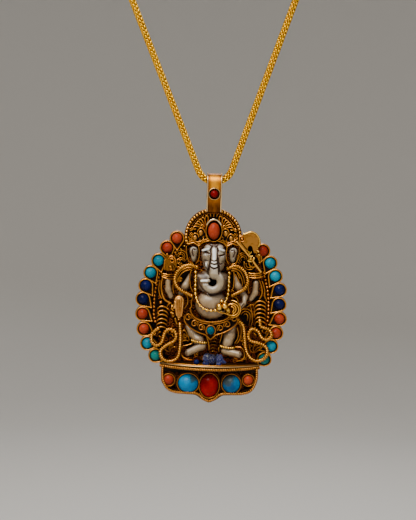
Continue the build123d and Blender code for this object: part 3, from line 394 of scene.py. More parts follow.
class Piece:
    """Gathers the shapes that make one object."""

    def __init__(self):
        self.points, self.faces, self.marks, self.count = [], [], [], 0

    def add(self, points, faces, mark=0.0):
        points = np.asarray(points, float)
        self.points.append(points)
        self.faces.extend((np.asarray(faces) + self.count).tolist() if isinstance(faces, np.ndarray)
                          else [[i + self.count for i in face] for face in faces])
        self.marks.append(np.broadcast_to(mark, len(points)))
        self.count += len(points)

    def tube(self, line, radius, sides=8, closed=False, lift=(0, 0, 1)):
        """A round wire along a line."""
        line = np.asarray(line, float)
        count = len(line)
        _, side, up = frame_along(line, lift, closed)
        around = np.linspace(0, 2 * np.pi, sides, endpoint=False)
        ring = side[:, None] * np.cos(around)[None, :, None] + up[:, None] * np.sin(around)[None, :, None]
        points = (line[:, None] + ring * radius).reshape(-1, 3)
        rows = np.arange(count if closed else count - 1)
        first = rows[:, None] * sides
        after = ((rows + 1) % count)[:, None] * sides
        here, beside = np.arange(sides)[None], (np.arange(sides)[None] + 1) % sides
        quads = np.stack((first + here, after + here, after + beside, first + beside), axis=2).reshape(-1, 4)
        faces = quads.tolist()
        if not closed:
            faces.append(list(range(sides)))
            faces.append(list(range(len(points) - 1, len(points) - 1 - sides, -1)))
        self.add(points, faces)
        return self

    def wire(self, flat, depth, radius, sides=6, step=0.2):
        """A wire through flat points at a depth, or from one depth to others along it."""
        return self.tube(at_depth(smooth(flat, step), depth), radius, sides)

    def wires(self, rows, depth=None, sides=6, flips=(1,)):
        """Wires given as rows of flat points, radius and, unless one serves for all, depth."""
        for flip in flips:
            for flat, radius, *own in rows:
                self.wire(np.array(flat) * (flip, 1), own[0] if own else depth, radius, sides)
        return self

    def bent(self, u, v, reach, start, end, depth, radius, squash=1.0, step=12.0, sides=8, closed=False):
        """A wire bent round a middle from one angle to another."""
        return self.tube(at_depth(turn(u, v, reach, start, end, squash, step), depth), radius, sides, closed)

    def curl(self, u, v, reach, start, turns, depth, radius, last=0.12, step=20.0, sides=6):
        """A wire that curls inward to a last reach; turns below zero run clockwise."""
        end = start + 360 * turns
        return self.bent(u, v, (reach, last), start, end, depth, radius, step=step, sides=sides)

    def arcs(self, u, v, reaches, start, end, depth, radius):
        """Nested arcs round one middle."""
        for reach in reaches:
            self.bent(u, v, reach, start, end, depth, radius, sides=6)
        return self

    def ribs(self, line, radius, pitch, slant, swell):
        """Close ribs across a line, each turned by slant degrees: a rope or a wound strand."""
        dense = evenly(np.asarray(line, float), pitch)
        ahead, side, up = frame_along(dense, (0, 0, 1), False)
        turned = np.radians(slant)
        for place, a, s, o in zip(dense, ahead, side, up):
            across = s * np.cos(turned) + a * np.sin(turned)
            along = a * np.cos(turned) - s * np.sin(turned)
            self.grain(place, along, across, o, (pitch * swell, radius, radius))
        self.tube(dense, radius * RIB_CORE, sides=6)
        return self

    def balls(self, places, radius):
        """Granules at places."""
        radius = np.broadcast_to(radius, len(places))
        for place, r in zip(np.asarray(places, float), radius):
            self.add(BALL_POINTS * r + place, BALL_FACES)
        return self

    def grain(self, place, along, across, out, size):
        """An egg-shaped grain with its three directions and half sizes."""
        axes = np.array([along, across, out]) * np.asarray(size)[:, None]
        self.add(np.asarray(place) + BALL_POINTS @ axes, BALL_FACES)
        return self

    def lump(self, place, size):
        """A grain that stands straight."""
        return self.grain(place, *np.eye(3), size)

    def beads(self, line, size):
        """Grains in a row along a line."""
        for place, *directions in zip(line, *frame_along(line, (0, 0, 1), False)):
            self.grain(place, *directions, size)
        return self

    def make(self, name, material, body="pendant", slot="antique_gilt", replaces=()):
        """Builds the object, in the shared frame, riding on its body."""
        points = np.vstack(self.points)
        mesh = bpy.data.meshes.new(name)
        mesh.from_pydata(in_frame(points).tolist(), [], self.faces)
        if any(np.any(m) for m in self.marks):
            cuts = mesh.attributes.new("cuts", "FLOAT", "POINT")
            cuts.data.foreach_set("value", np.concatenate(self.marks).astype(np.float32))
        mesh.polygons.foreach_set("use_smooth", [True] * len(mesh.polygons))
        mesh.materials.append(material)
        mesh.update()
        made = bpy.data.objects.new(name, mesh)
        bpy.context.scene.collection.objects.link(made)
        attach(made, body)
        if replaces:
            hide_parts(*replaces)
        return made


def ball_shape(segments=8, stacks=6):
    """Points and faces of a unit ball."""
    points, faces = [(0.0, 0.0, 1.0)], []
    for i in range(1, stacks):
        tilt = np.pi * i / stacks
        for k in range(segments):
            angle = 2 * np.pi * k / segments
            points.append((np.sin(tilt) * np.cos(angle), np.sin(tilt) * np.sin(angle), np.cos(tilt)))
    points.append((0.0, 0.0, -1.0))
    last = len(points) - 1
    for k in range(segments):
        beside = (k + 1) % segments
        faces.append([0, 1 + k, 1 + beside])
        for i in range(stacks - 2):
            row = 1 + i * segments
            faces.append([row + k, row + segments + k, row + segments + beside, row + beside])
        row = 1 + (stacks - 2) * segments
        faces.append([row + k, last, row + beside])
    return np.array(points), faces


BALL_POINTS, BALL_FACES = ball_shape()


# Carving: fields that are below zero inside the form
CUT_FADE = 0.3         # millimetres over which the cuts fade in, forward of where they start
STAIN_AND_SHADE_SHARE = 0.45     # how brown a mark without a groove is beside a cut, both for stains and for painted shade


def egg(place, half):
    """An egg-shaped form with three half sizes."""
    def field(u, v, d):
        near = [(c - m) / h for c, m, h in zip((u, v, d), place, half)]
        far = [n / h for n, h in zip(near, half)]
        inner = np.sqrt(near[0]**2 + near[1]**2 + near[2]**2)
        outer = np.sqrt(far[0]**2 + far[1]**2 + far[2]**2)
        return inner * (inner - 1) / np.maximum(outer, 1e-6)
    return field


def bar(start, start_r, end, end_r, press=1.0):
    """A round bar between two places with a radius at each; press flattens it forward."""
    start, end = np.array(start, float), np.array(end, float)
    run = (end - start) * (1, 1, 1 / press)

    def field(u, v, d):
        du, dv, dd = u - start[0], v - start[1], (d - start[2]) / press
        share = np.clip((du * run[0] + dv * run[1] + dd * run[2]) / run.dot(run), 0, 1)
        apart = np.sqrt((du - share * run[0])**2 + (dv - share * run[1])**2 + (dd - share * run[2])**2)
        return apart - (start_r + (end_r - start_r) * share)
    return field


def hoop(place, ring_r, start, start_r, end, end_r):
    """A bar bent round a middle in the front plane, clockwise from one angle to another."""
    def field(u, v, d):
        du, dv = u - place[0], v - place[1]
        angle = np.degrees(np.arctan2(dv, du))
        share = np.clip(((start - angle) % 360) / (start - end), 0, None)
        wrapped = np.where(share > 1 + (360 / (start - end) - 1) / 2, 0, np.minimum(share, 1))
        at = np.radians(start + (end - start) * wrapped)
        apart = np.sqrt((du - ring_r * np.cos(at))**2 + (dv - ring_r * np.sin(at))**2 + (d - place[2])**2)
        return apart - (start_r + (end_r - start_r) * wrapped)
    return field


def melt(k, *fields):
    """Several forms run together with a soft joint."""
    def field(u, v, d):
        whole = fields[0](u, v, d)
        for one in fields[1:]:
            other = one(u, v, d)
            blend = np.clip(0.5 + 0.5 * (other - whole) / k, 0, 1)
            whole = other + (whole - other) * blend - k * blend * (1 - blend)
        return whole
    return field


def off_line(u, v, line):
    """The distance, seen from the front, to a line of straight runs."""
    nearest = None
    for (au, av), (bu, bv) in zip(line, line[1:]):
        ru, rv = bu - au, bv - av
        share = np.clip(((u - au) * ru + (v - av) * rv) / (ru * ru + rv * rv), 0, 1)
        apart = np.hypot(u - au - share * ru, v - av - share * rv)
        nearest = apart if nearest is None else np.minimum(nearest, apart)
    return nearest


def carve(field, low, high, step, cuts=(), from_depth=0.0, brown=1.7):
    """The surface of a field, with cuts along lines given as (line, half width, depth).

    A cut whose depth is 0 is a brown mark without a groove, used both for stains and for painted shade; one
    whose depth is None is a painted highlight. Cuts are made only in front of from_depth, and the wax, the
    marks and the highlights reach brown times as far as a cut is wide.
    """
    axes = [np.arange(a, b + step, step) for a, b in zip(low, high)]
    u, v, d = np.meshgrid(*axes, indexing="ij", sparse=True)
    value = field(u, v, d) + 0 * (u + v + d)
    front = np.clip((d - from_depth) / CUT_FADE, 0, 1)
    for line, width, deep in cuts:
        if not deep:
            continue
        value = value + deep * np.exp(-(off_line(u, v, line) / width)**2) * front
    inside = value < 0
    shape = tuple(n - 1 for n in value.shape)

    def corner(array, i, j, k):
        return array[i:i + shape[0], j:j + shape[1], k:k + shape[2]]

    full = sum(corner(inside, i, j, k).astype(np.int8) for i in (0, 1) for j in (0, 1) for k in (0, 1))
    active = np.nonzero((full > 0) & (full < 8))
    number = np.full(shape, -1, int)
    number[active] = np.arange(len(active[0]))
    total = np.zeros((len(active[0]), 3))
    hits = np.zeros(len(active[0]))
    for axis in range(3):
        others = [a for a in range(3) if a != axis]
        for one in (0, 1):
            for two in (0, 1):
                offset = [0, 0, 0]
                offset[others[0]], offset[others[1]] = one, two
                beyond = list(offset)
                beyond[axis] = 1
                near = value[tuple(a + o for a, o in zip(active, offset))]
                far = value[tuple(a + o for a, o in zip(active, beyond))]
                crosses = (near < 0) != (far < 0)
                share = np.where(crosses, near / np.where(near == far, 1, near - far), 0)
                where = np.column_stack(active).astype(float) + offset
                where[:, axis] += share
                total += where * crosses[:, None]
                hits += crosses
    points = total / hits[:, None] * step + np.array([a[0] for a in axes])
    faces = []
    for axis in range(3):
        a, b = [k for k in range(3) if k != axis]
        low_side = [slice(None)] * 3
        high_side = [slice(None)] * 3
        low_side[axis], high_side[axis] = slice(0, -1), slice(1, None)
        one, two = inside[tuple(low_side)], inside[tuple(high_side)]
        edges = np.nonzero(one != two)
        keep = (edges[a] > 0) & (edges[b] > 0) & (edges[a] < shape[a]) & (edges[b] < shape[b])
        edges = [e[keep] for e in edges]
        flip = one[tuple(edges)]
        ring = []
        for step_a, step_b in ((1, 1), (0, 1), (0, 0), (1, 0)):
            cell = list(edges)
            cell[a], cell[b] = edges[a] - step_a, edges[b] - step_b
            ring.append(number[tuple(cell)])
        ring = np.column_stack(ring)
        if axis == 1:
            flip = ~flip
        ring[~flip] = ring[~flip][:, ::-1]
        faces.append(ring)
    wax_and_shade_marks, highlight_marks = np.zeros(len(points)), np.zeros(len(points))
    for line, width, deep in cuts:
        near = np.exp(-(off_line(points[:, 0], points[:, 1], line) / (width * brown))**2)
        near *= points[:, 2] > from_depth
        if deep is None:
            highlight_marks = np.maximum(highlight_marks, near)
        else:
            wax_and_shade_marks = np.maximum(wax_and_shade_marks, near * (1.0 if deep else STAIN_AND_SHADE_SHARE))
    piece = Piece()
    piece.add(points, np.vstack(faces), wax_and_shade_marks - highlight_marks * (1 - wax_and_shade_marks))
    return piece


# Chain: foxtail links read as six columns of slanted grains round a core
CHAIN_R = 0.9
NECK_R = (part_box("chain")[1].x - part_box("chain")[0].x) / 2 / MM - CHAIN_R
NECK_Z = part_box("chain")[1].z / MM - CHAIN_R - NECK_R
STRAND_LEAN = 1.9       # degrees by which the loop leans to the left of plumb
HALF_FORK = 20.9        # degrees between a strand and the middle of the loop
BEND_R = 4.2
CLASP_HALF = 3.56       # half of the stretch inside the clasp that has no links
CLASP_RING_R = 1.93
CLASP_RINGS = (-5.7, -0.35, 0.35, 5.7)  # places along the clasp, from its middle
LINK_PITCH = 0.97
GRAIN = (0.62, 0.27, 0.26)
GRAIN_RING = 0.6
GRAIN_SLANT = 33.0
CORE_R = 0.6


def arc_in_loop(x, z, radius, start, end):
    """Points round a middle in the loop's plane, in frame millimetres."""
    angle = np.radians(np.linspace(start, end, max(8, int(abs(end - start) * radius / 20))))
    return np.column_stack((x + radius * np.cos(angle), z + radius * np.sin(angle)))


def chain_line():
    """The chain's middle line from the clasp's right end round to its left end, in grid places."""
    half, lean = np.radians(HALF_FORK), np.radians(STRAND_LEAN)
    down = np.array((np.sin(lean), -np.cos(lean)))
    neck = np.array((0.0, NECK_Z))
    bend = neck + down * (NECK_R / np.sin(half) - BEND_R / np.sin(half))
    right = -90 + STRAND_LEAN + 90 - HALF_FORK
    left = -90 + STRAND_LEAN - (90 - HALF_FORK)
    clasp = np.degrees(CLASP_HALF / NECK_R)
    flat = np.vstack((arc_in_loop(*neck, NECK_R, 90 - clasp, right),
                      arc_in_loop(*bend, BEND_R, right, left),
                      arc_in_loop(*neck, NECK_R, left, -270 + clasp)))
    line = np.column_stack((flat[:, 0], np.zeros(len(flat)), flat[:, 1])) * MM
    return in_grid(line)


def make_chain():
    """The links as two halves, and the core."""
    line = chain_line()
    marks = evenly(line, LINK_PITCH / 2)
    ahead, side, front = frame_along(marks, (0, 0, 1), False)
    slant = np.radians(GRAIN_SLANT)
    middle = len(marks) // 2
    for name, rows in (("chain_links_right", range(middle)), ("chain_links_left", range(middle, len(marks)))):
        links = Piece()
        for row in rows:
            for column in range(6):
                if (row + column) % 2:
                    continue
                angle = np.radians(60 * column)
                out = front[row] * np.cos(angle) + side[row] * np.sin(angle)
                round_ = side[row] * np.cos(angle) - front[row] * np.sin(angle)
                lean = slant if column % 2 else -slant
                along = ahead[row] * np.cos(lean) + round_ * np.sin(lean)
                across = round_ * np.cos(lean) - ahead[row] * np.sin(lean)
                links.grain(marks[row] + out * GRAIN_RING, along, across, out, GRAIN)
        links.make(name, chain_gold, "chain", "chain_gold", ("chain",))
    Piece().tube(evenly(line, 0.8), CORE_R, sides=8).make("chain_core", chain_core, "chain", "chain_gold")


def make_clasp_trim():
    """Raised rings at the ends and the seam of the barrel clasp."""
    trim = Piece()
    for along in CLASP_RINGS:
        angle = np.radians(90 + np.degrees(along / NECK_R))
        out = np.array((np.cos(angle), 0, np.sin(angle)))
        middle = np.array((0, 0, NECK_Z)) + out * NECK_R
        round_ = np.linspace(0, 2 * np.pi, 40, endpoint=False)[:, None]
        ring = middle + CLASP_RING_R * (out * np.cos(round_) + np.array((0, 1, 0)) * np.sin(round_))
        trim.tube(in_grid(ring * MM), 0.16, sides=8, closed=True, lift=(1, 0, 0))
    trim.make("clasp_rings", chain_gold, "chain", "chain_gold")


# What lies in front of a place
FAR_IN_FRONT = 40.0    # millimetres
solids = {}            # the search tree of each solid that was asked for


def front_of(name, u, v, otherwise=None):
    """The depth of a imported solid's face at a place seen from the front."""
    if name not in solids:
        mesh = frame["nodes"][name].data
        solids[name] = BVHTree.FromPolygons([p.co for p in mesh.vertices],
                                            [p.vertices for p in mesh.polygons])
    start = Vector(in_frame((u, v, FAR_IN_FRONT))[0])
    hit = solids[name].ray_cast(start, Vector((0, 1, 0)))[0]
    return in_grid(hit)[0][2] if hit else otherwise


# The figure in bone
FIGURE_STEP = 0.11
HEAD_STEP = 0.09
TRUNK = (0.1, 29.05, 7.1)


def make_head():
    """The elephant's head: two lobes of the forehead, closed eyes, and the trunk curled round a hole."""
    u, v, d = TRUNK
    head = melt(
        0.45,
        egg((0.27, 34.9, 4.4), (2.9, 2.75, 2.7)), egg((0.3, 33.1, 4.9), (2.5, 2.3, 2.2)),
        egg((-0.85, 36.75, 4.9), (1.25, 1.0, 1.6)), egg((1.4, 36.75, 4.9), (1.25, 1.0, 1.6)),
        bar((0.27, 36.4, 6.2), 0.6, (0.3, 33.4, 7.0), 0.75))
    head = melt(
        0.25, head, bar((0.3, 33.3, 6.6), 1.05, (0.5, 30.9, 6.95), 1.3),
        hoop((u, v, d - 0.15), 1.86, 84, 1.02, -150, 0.74))
    head = melt(
        0.12, head, bar((u - 0.9, v + 0.28, d), 0.44, (u - 2.5, v + 0.22, d + 0.05), 0.34),
        bar((u - 1.3, v - 0.75, d), 0.4, (u - 2.1, v - 0.6, d + 0.05), 0.24))
    head = melt(
        0.12, head, bar((-2.35, 36.25, 5.9), 0.3, (-1.05, 36.75, 6.45), 0.4),
        bar((1.6, 36.7, 6.4), 0.38, (2.65, 36.3, 5.9), 0.28),
        egg((-1.6, 34.9, 6.3), (0.75, 0.8, 0.55)), egg((2.1, 34.6, 6.3), (0.7, 0.8, 0.5)),
        egg((-1.45, 33.05, 6.5), (0.35, 0.6, 0.5)), egg((1.85, 32.9, 6.3), (0.35, 0.5, 0.4)))
    # Marks whose depth is None are painted highlights on the brows, the trunk's ridges, the left cheek and
    # the tusk; of the brown marks whose depth is 0, those under the brows are painted shade, the others are
    # stains on the cheeks.
    cuts = (
        (((-2.35, 35.85), (-1.6, 35.95), (-0.75, 35.6)), 0.13, 0.3),
        (((1.45, 35.15), (2.1, 35.2), (2.85, 35.5)), 0.13, 0.3),
        (((-0.2, 37.3), (-0.5, 36.5), (-0.38, 35.4), (-0.5, 34.3)), 0.13, 0.34),
        (((-0.5, 34.2), (-0.66, 33.0), (-0.9, 31.9), (-1.1, 31.0)), 0.15, 0.4),
        (((0.95, 37.2), (1.2, 36.3), (1.05, 35.4), (1.2, 34.5)), 0.13, 0.34),
        (((1.2, 34.4), (1.35, 33.5), (1.45, 32.8)), 0.19, 0.42),
        (((1.45, 32.8), (1.5, 31.8), (1.55, 31.0)), 0.13, 0.34),
        (((-0.4, 34.2), (0.3, 33.92), (1.05, 34.15)), 0.1, 0.26),
        (((-0.45, 33.45), (0.35, 33.15), (1.2, 33.4)), 0.12, 0.38),
        (((-0.5, 32.6), (0.35, 32.2), (1.3, 32.5)), 0.13, 0.38),
        (((-1.6, 37.95), (-0.7, 37.6), (-0.15, 37.15), (0.25, 37.7), (0.6, 37.1), (1.3, 37.75)), 0.11, 0.34),
        (((-2.2, 35.4), (-1.9, 34.6), (-1.8, 33.9)), 0.3, 0.0),
        (((0.25, 37.3), (0.35, 35.8), (0.42, 34.5)), 0.25, None), (((-2.2, 36.3), (-1.0, 36.75)), 0.2, None),
        (((1.6, 36.75), (2.4, 36.5)), 0.18, None), (((-0.1, 33.72), (0.8, 33.7)), 0.12, None),
        (((-0.15, 32.9), (0.95, 32.85)), 0.2, None), (((-1.6, 33.4), (-1.45, 32.6)), 0.16, None),
        (((-2.5, 29.3), (-1.2, 29.35)), 0.14, None),
        (((-0.95, 35.4), (-1.0, 34.0)), 0.2, 0.0),
        (((2.6, 34.8), (2.4, 33.6)), 0.25, 0.0),
        (((-2.2, 33.6), (-1.75, 34.05), (-1.0, 33.95)), 0.1, 0.14),
        (((u - 0.9, v - 0.22), (u - 2.2, v - 0.25)), 0.1, 0.4),
        (((-1.9, 33.4), (-1.7, 32.5), (-1.1, 31.9)), 0.1, 0.15),
        (((1.5, 33.3), (1.9, 33.15), (2.2, 33.3)), 0.14, 0.2), (((1.6, 32.4), (1.7, 33.1)), 0.25, 0.0),
        (((-2.4, 35.5), (-1.6, 35.6), (-0.8, 35.3)), 0.2, 0.0), (((1.5, 34.9), (2.3, 34.95)), 0.2, 0.0),
    )
    piece = carve(head, (-3.4, 25.6, 1.3), (3.8, 38.6, 8.3), HEAD_STEP, cuts, 5.2)
    piece.make("carved_head", carved_bone, slot="bone", replaces=("head",))
    # Painted shadow: a black lump behind the hole of the trunk's curl.
    Piece().lump((u, v, d - 1.05), (1.18, 1.1, 0.35)).make("trunk_hole_shadow", painted_shadow_black, slot="bone")


def make_ears():
    """Two ears, hollowed inside a rolled edge."""
    for name, side, u in (("ear_left", -1, -4.5), ("ear_right", 1, 4.85)):
        ear = melt(0.4, egg((u, 35.7, 1.75), (0.98, 1.15, 0.6)),
                   egg((u - side * 0.08, 34.5, 1.7), (0.72, 1.35, 0.55)))
        cuts = (
            (((u - side * 0.4, 36.05), (u + side * 0.15, 36.25), (u + side * 0.35, 35.5), (u, 34.5)),
             0.12, 0.22),
            (((u - side * 0.3, 35.9), (u - side * 0.05, 35.2), (u - side * 0.05, 34.6)), 0.2, 0.0),
        )
        piece = carve(ear, (u - 1.3, 32.8, 1.0), (u + 1.3, 37.1, 2.6), FIGURE_STEP, cuts, 1.6)
        piece.make("carved_" + name, carved_bone, slot="bone", replaces=(name,))


def make_torso():
    """Chest and round belly, with the fold above the belly."""
    torso = melt(
        0.7, egg((0, 28.6, 3.0), (3.9, 2.9, 1.95)), bar((-3.0, 29.6, 2.7), 1.15, (3.0, 29.6, 2.7), 1.15),
        egg((0, 23.4, 3.95), (3.75, 3.45, 2.85)))
    # The wide brown marks on the chest beside and under the trunk, and round the belly's lower edge, are
    # painted shade.
    cuts = (
        (((-3.4, 26.9), (-2.2, 26.2), (0.0, 25.8), (2.2, 26.2), (3.4, 26.9)), 0.2, 0.36),
        (((-3.6, 29.0), (-3.4, 27.4)), 0.3, 0.2), (((3.6, 29.0), (3.4, 27.4)), 0.3, 0.2),
        (((-3.4, 31.2), (-2.4, 30.5), (-1.6, 29.8)), 0.55, 0.04), (((-2.9, 30.0), (-2.3, 27.6)), 0.5, 0.0),
        (((3.3, 31.0), (3.0, 29.2), (2.6, 27.2)), 0.4, 0.0),
        (((-1.8, 27.0), (0.2, 26.3), (1.9, 26.9)), 0.35, 0.0),
        (((-3.3, 24.4), (-3.4, 22.6), (-2.4, 20.6), (0.0, 19.9), (2.4, 20.6)), 0.5, 0.0),
        (((-3.2, 29.6), (-2.9, 28.0), (-2.0, 26.7), (-0.8, 26.2)), 0.14, 0.2),
    )
    piece = carve(torso, (-4.6, 19.3, 0.8), (4.6, 31.6, 7.2), FIGURE_STEP, cuts, 3.0, 1.3)
    piece.make("carved_torso", warm_bone, slot="bone", replaces=("torso",))


LIMBS = {
    "arm_front_left": (((-5.2, 30.1, 2.0), 0.42), ((-6.2, 27.5, 2.1), 0.86), ((-7.2, 25.7, 2.3), 0.72)),
    "arm_front_right": (((5.3, 30.1, 2.0), 0.42), ((6.15, 27.7, 2.1), 0.84), ((7.9, 25.2, 2.5), 0.7)),
    "arm_rear_left": (((-10.4, 28.5, 1.8), 0.66), ((-10.3, 26.4, 1.85), 0.72), ((-9.6, 24.8, 1.85), 0.6)),
    "arm_rear_right": (((10.4, 28.5, 1.8), 0.66), ((10.3, 26.2, 1.85), 0.72), ((9.3, 24.7, 1.85), 0.58)),
    "leg_left": (((-5.6, 17.8, 2.0), 0.5), ((-4.3, 16.3, 2.5), 1.0), ((-2.9, 14.8, 3.0), 1.3),
                 ((-2.0, 13.4, 3.6), 0.98), ((-5.2, 12.0, 5.0), 0.82)),
    "leg_right": (((5.15, 17.7, 2.3), 0.92), ((4.5, 16.0, 2.7), 1.35), ((4.1, 14.3, 3.2), 1.15),
                  ((3.5, 12.4, 3.8), 0.86), ((6.7, 11.9, 5.0), 0.82)),
}


# The cupped hand at the end of the front right arm, and the cuts between the toes
CUPPED_HAND_END = (6.8, 23.3, 4.6)
CUPPED_HAND = (bar((7.9, 25.2, 2.6), 0.7, (7.7, 23.9, 3.6), 0.5),
               bar((7.6, 23.8, 3.8), 0.55, CUPPED_HAND_END, 0.72))
PALM_CUTS = ((((7.3, 24.3), (6.3, 23.2)), 0.09, 0.12), (((7.7, 23.9), (6.7, 22.8)), 0.09, 0.12))
TOE_LIFTS = (-0.42, -0.12, 0.18, 0.46)
PALM_FRONT, TOE_FRONT = 3.9, 4.4  # depths from which the cuts are made
LIMB_MARGIN = 1.5


def make_limbs():
    """Arms and legs; the feet have toes, and the front right arm ends in a cupped hand."""
    for name, ends in LIMBS.items():
        parts = [bar(a[0], a[1], b[0], b[1]) for a, b in zip(ends, ends[1:])]
        places = [place for place, _ in ends]
        cuts, from_depth = (), 0.0
        if name == "arm_front_right":
            parts += CUPPED_HAND
            places.append(CUPPED_HAND_END)
            cuts, from_depth = PALM_CUTS, PALM_FRONT
        if name.startswith("leg"):
            toe_u, toe_v, _ = ends[-1][0]
            out = -1 if name.endswith("left") else 1
            cuts = [(((toe_u + out * 0.15, toe_v + lift), (toe_u + out, toe_v + lift * 1.2)), 0.07, 0.14)
                    for lift in TOE_LIFTS]
            from_depth = TOE_FRONT
        low, high = np.min(places, axis=0) - LIMB_MARGIN, np.max(places, axis=0) + LIMB_MARGIN
        piece = carve(melt(0.35, *parts), low, high, FIGURE_STEP, cuts, from_depth, 1.3)
        piece.make("carved_" + name, warm_bone, slot="bone", replaces=(name,))


# Rim: teardrop bezels of wire round the stones, with a granule at each tip
RIM = {
    -1: ((-8.5, 38.7), (-10.75, 36.4), (-12.7, 33.3), (-14.5, 30.4), (-15.6, 27.3), (-16.2, 24.1),
         (-16.2, 20.6), (-15.8, 17.0), (-14.9, 13.6), (-12.9, 10.7)),
    1: ((8.3, 38.7), (11.8, 36.2), (13.6, 33.4), (14.9, 30.3), (16.0, 27.1), (16.0, 23.6),
        (16.2, 20.2), (15.5, 16.8), (14.4, 13.6), (12.9, 10.5)),
}
RIM_TOP = 2.5
BEZEL_R = 1.6
BEZEL_WIRE = 0.17
TIP_REACH = 2.8
TIP_TURN = 46.0        # degrees the tip turns inward from the line to the next stone
LAST_TIP_REACH = 2.0


def teardrop(here, heading, radius, reach):
    """A closed line round a circle and out to a tip."""
    open_ = np.degrees(np.arccos(radius / reach))
    tip = np.array(here) + reach * np.array((np.cos(np.radians(heading)), np.sin(np.radians(heading))))
    ring = turn(*here, radius, heading + open_, heading + 360 - open_, step=10)
    return np.vstack((tip[None], ring)), tip


def make_rim():
    """Wire bezels of the twenty rim stones."""
    wires, grains = Piece(), Piece()
    for side, places in RIM.items():
        for here, there in zip(places, places[1:] + (None,)):
            if there:
                heading = np.degrees(np.arctan2(there[1] - here[1], there[0] - here[0])) - side * TIP_TURN
            else:
                heading = np.degrees(np.arctan2(-1.2, -0.1 * here[0]))
            line, tip = teardrop(here, heading, BEZEL_R, TIP_REACH if there else LAST_TIP_REACH)
            dense = evenly(np.vstack((line, line[:1])), 0.22)[:-1]
            wires.tube(at_depth(dense, RIM_TOP + 0.1), BEZEL_WIRE, closed=True)
            wires.bent(*here, BEZEL_R + 0.03, 0, 345, RIM_TOP - 0.95, 0.13, step=15, sides=6, closed=True)
            if there:
                grains.balls([(*tip, RIM_TOP + 0.12)], 0.27)
    wires.make("rim_bezel_wires", antique_gilt)
    grains.make("rim_tip_granules", antique_gilt)


# Applied strands
SCROLL_LEFT = (
    (-12.4, 17.4), (-13.8, 16.1), (-13.8, 14.2), (-12.6, 13.3), (-11.5, 14.1), (-11.0, 15.9),
    (-10.3, 17.1), (-8.9, 17.2), (-8.1, 15.9), (-8.6, 14.5), (-10.4, 13.4), (-11.7, 12.1),
    (-11.3, 10.4), (-9.6, 9.6), (-7.8, 10.4), (-7.2, 12.4), (-7.1, 15.4), (-7.3, 18.6),
)
SCROLL_RIGHT = (
    (11.5, 19.9), (11.8, 18.5), (13.6, 17.9), (14.4, 16.5), (13.4, 15.4), (12.1, 15.8),
    (11.2, 17.3), (9.8, 17.9), (8.9, 16.6), (9.4, 15.1), (11.3, 14.6), (13.0, 13.8),
    (13.5, 12.1), (12.5, 10.7), (10.7, 10.3), (9.1, 11.5), (8.3, 13.6), (8.0, 16.4),
    (7.6, 18.6), (6.4, 20.0),
)
RIBBON_LEFT = (
    (-3.6, 32.1), (-5.6, 32.6), (-7.8, 31.4), (-8.8, 29.2), (-8.0, 27.2), (-6.2, 26.0), (-4.7, 25.3),
)
RIBBON_RIGHT = (
    (3.6, 32.0), (5.6, 32.6), (7.5, 31.5), (8.4, 29.3), (7.7, 27.3), (6.1, 26.3), (4.8, 25.6),
)
GARLAND_SINK = 0.3     # how far the beads' middles lie behind the solid's front
BEAD = (0.46, 0.4, 0.4)  # half sizes along, across and out
GARLAND = (
    (-3.9, 30.9), (-3.85, 28.4), (-3.75, 25.8), (-2.9, 23.7), (-1.2, 22.5), (1.2, 22.5),
    (2.9, 23.7), (3.75, 25.8), (3.95, 28.4), (4.0, 30.9),
)
SCROLL_DEPTH = 3.97
RIBBON_DEPTH = 3.65
BEAD_PITCH = 0.98


def make_strands():
    """Scrolls and shoulder ribbons wound with fine wire, and the beaded garland."""
    for name, route, depth, radius, pitch, slant in (
            ("scroll_left", SCROLL_LEFT, SCROLL_DEPTH, 0.58, 0.54, 12),
            ("scroll_right", SCROLL_RIGHT, SCROLL_DEPTH, 0.58, 0.54, -12),
            ("ribbon_left", RIBBON_LEFT, RIBBON_DEPTH, 0.6, 0.5, 8),
            ("ribbon_right", RIBBON_RIGHT, RIBBON_DEPTH, 0.6, 0.5, -8)):
        line = at_depth(smooth(route, 0.15), depth)
        strand = Piece().ribs(line, radius, pitch, slant, 0.42)
        strand.balls([line[0], line[-1]], radius * 0.85)
        strand.make("wound_" + name, worn_gilt, replaces=(name,))
    flat = smooth(GARLAND, BEAD_PITCH)
    depth = [front_of("garland", u, v, 5.0) - GARLAND_SINK for u, v in flat]
    line = np.column_stack((flat, depth))
    beads = Piece().beads(line, BEAD).tube(line, 0.13, sides=6)
    beads.make("bead_garland", bright_gilt, slot="bright_gilt", replaces=("garland",))


# Crown
CROWN = (0.0, 39.2)
ROPE_R = 6.38          # the rope's middle line
BORDER_R = 5.66        # the row of granules inside it
CROWN_CUP = 3.6
CROWN_SEAT = (0.15, 40.7)
FROND_ROOT = (1.9, 41.2)
FROND_REACH = 5.2
FROND_ANGLES = (97, 76, 57, 38, 20, 2)
FROND = ((0.12, 0.05), (0.5, 0.26), (0.82, 0.34), (0.99, 0.1), (0.98, -0.26), (0.85, -0.42), (0.72, -0.3))
# Curls in the crown's lower corners: place and reach
CORNER_CURLS = ((3.5, 38.5, 0.5), (5.3, 38.4, 0.45), (2.45, 39.3, 0.35), (5.3, 40.9, 0.4))
CORNER_WIRE = ((2.1, 38.75), (3.2, 38.0), (4.5, 38.15), (5.9, 39.0))
# The leaf cups beside the crown's stone: place, how far the dome lies out, and size
LEAVES = ((2.85, 40.15, 0.2, 0.86), (4.15, 39.0, 0.3, 0.78))


def make_crown_rope():
    """The rope along the crown's arch, and a row of granules inside it."""
    rope = Piece().ribs(at_depth(turn(*CROWN, ROPE_R, -9.5, 189.5, step=3.0), 2.3), 0.48, 0.76, 26, 0.53)
    rope.make("crown_rope", worn_gilt)
    inner = Piece().balls(at_depth(turn(*CROWN, BORDER_R, -10, 190, step=4.6), 1.8), 0.2)
    inner.make("crown_border_granules", worn_bronze)


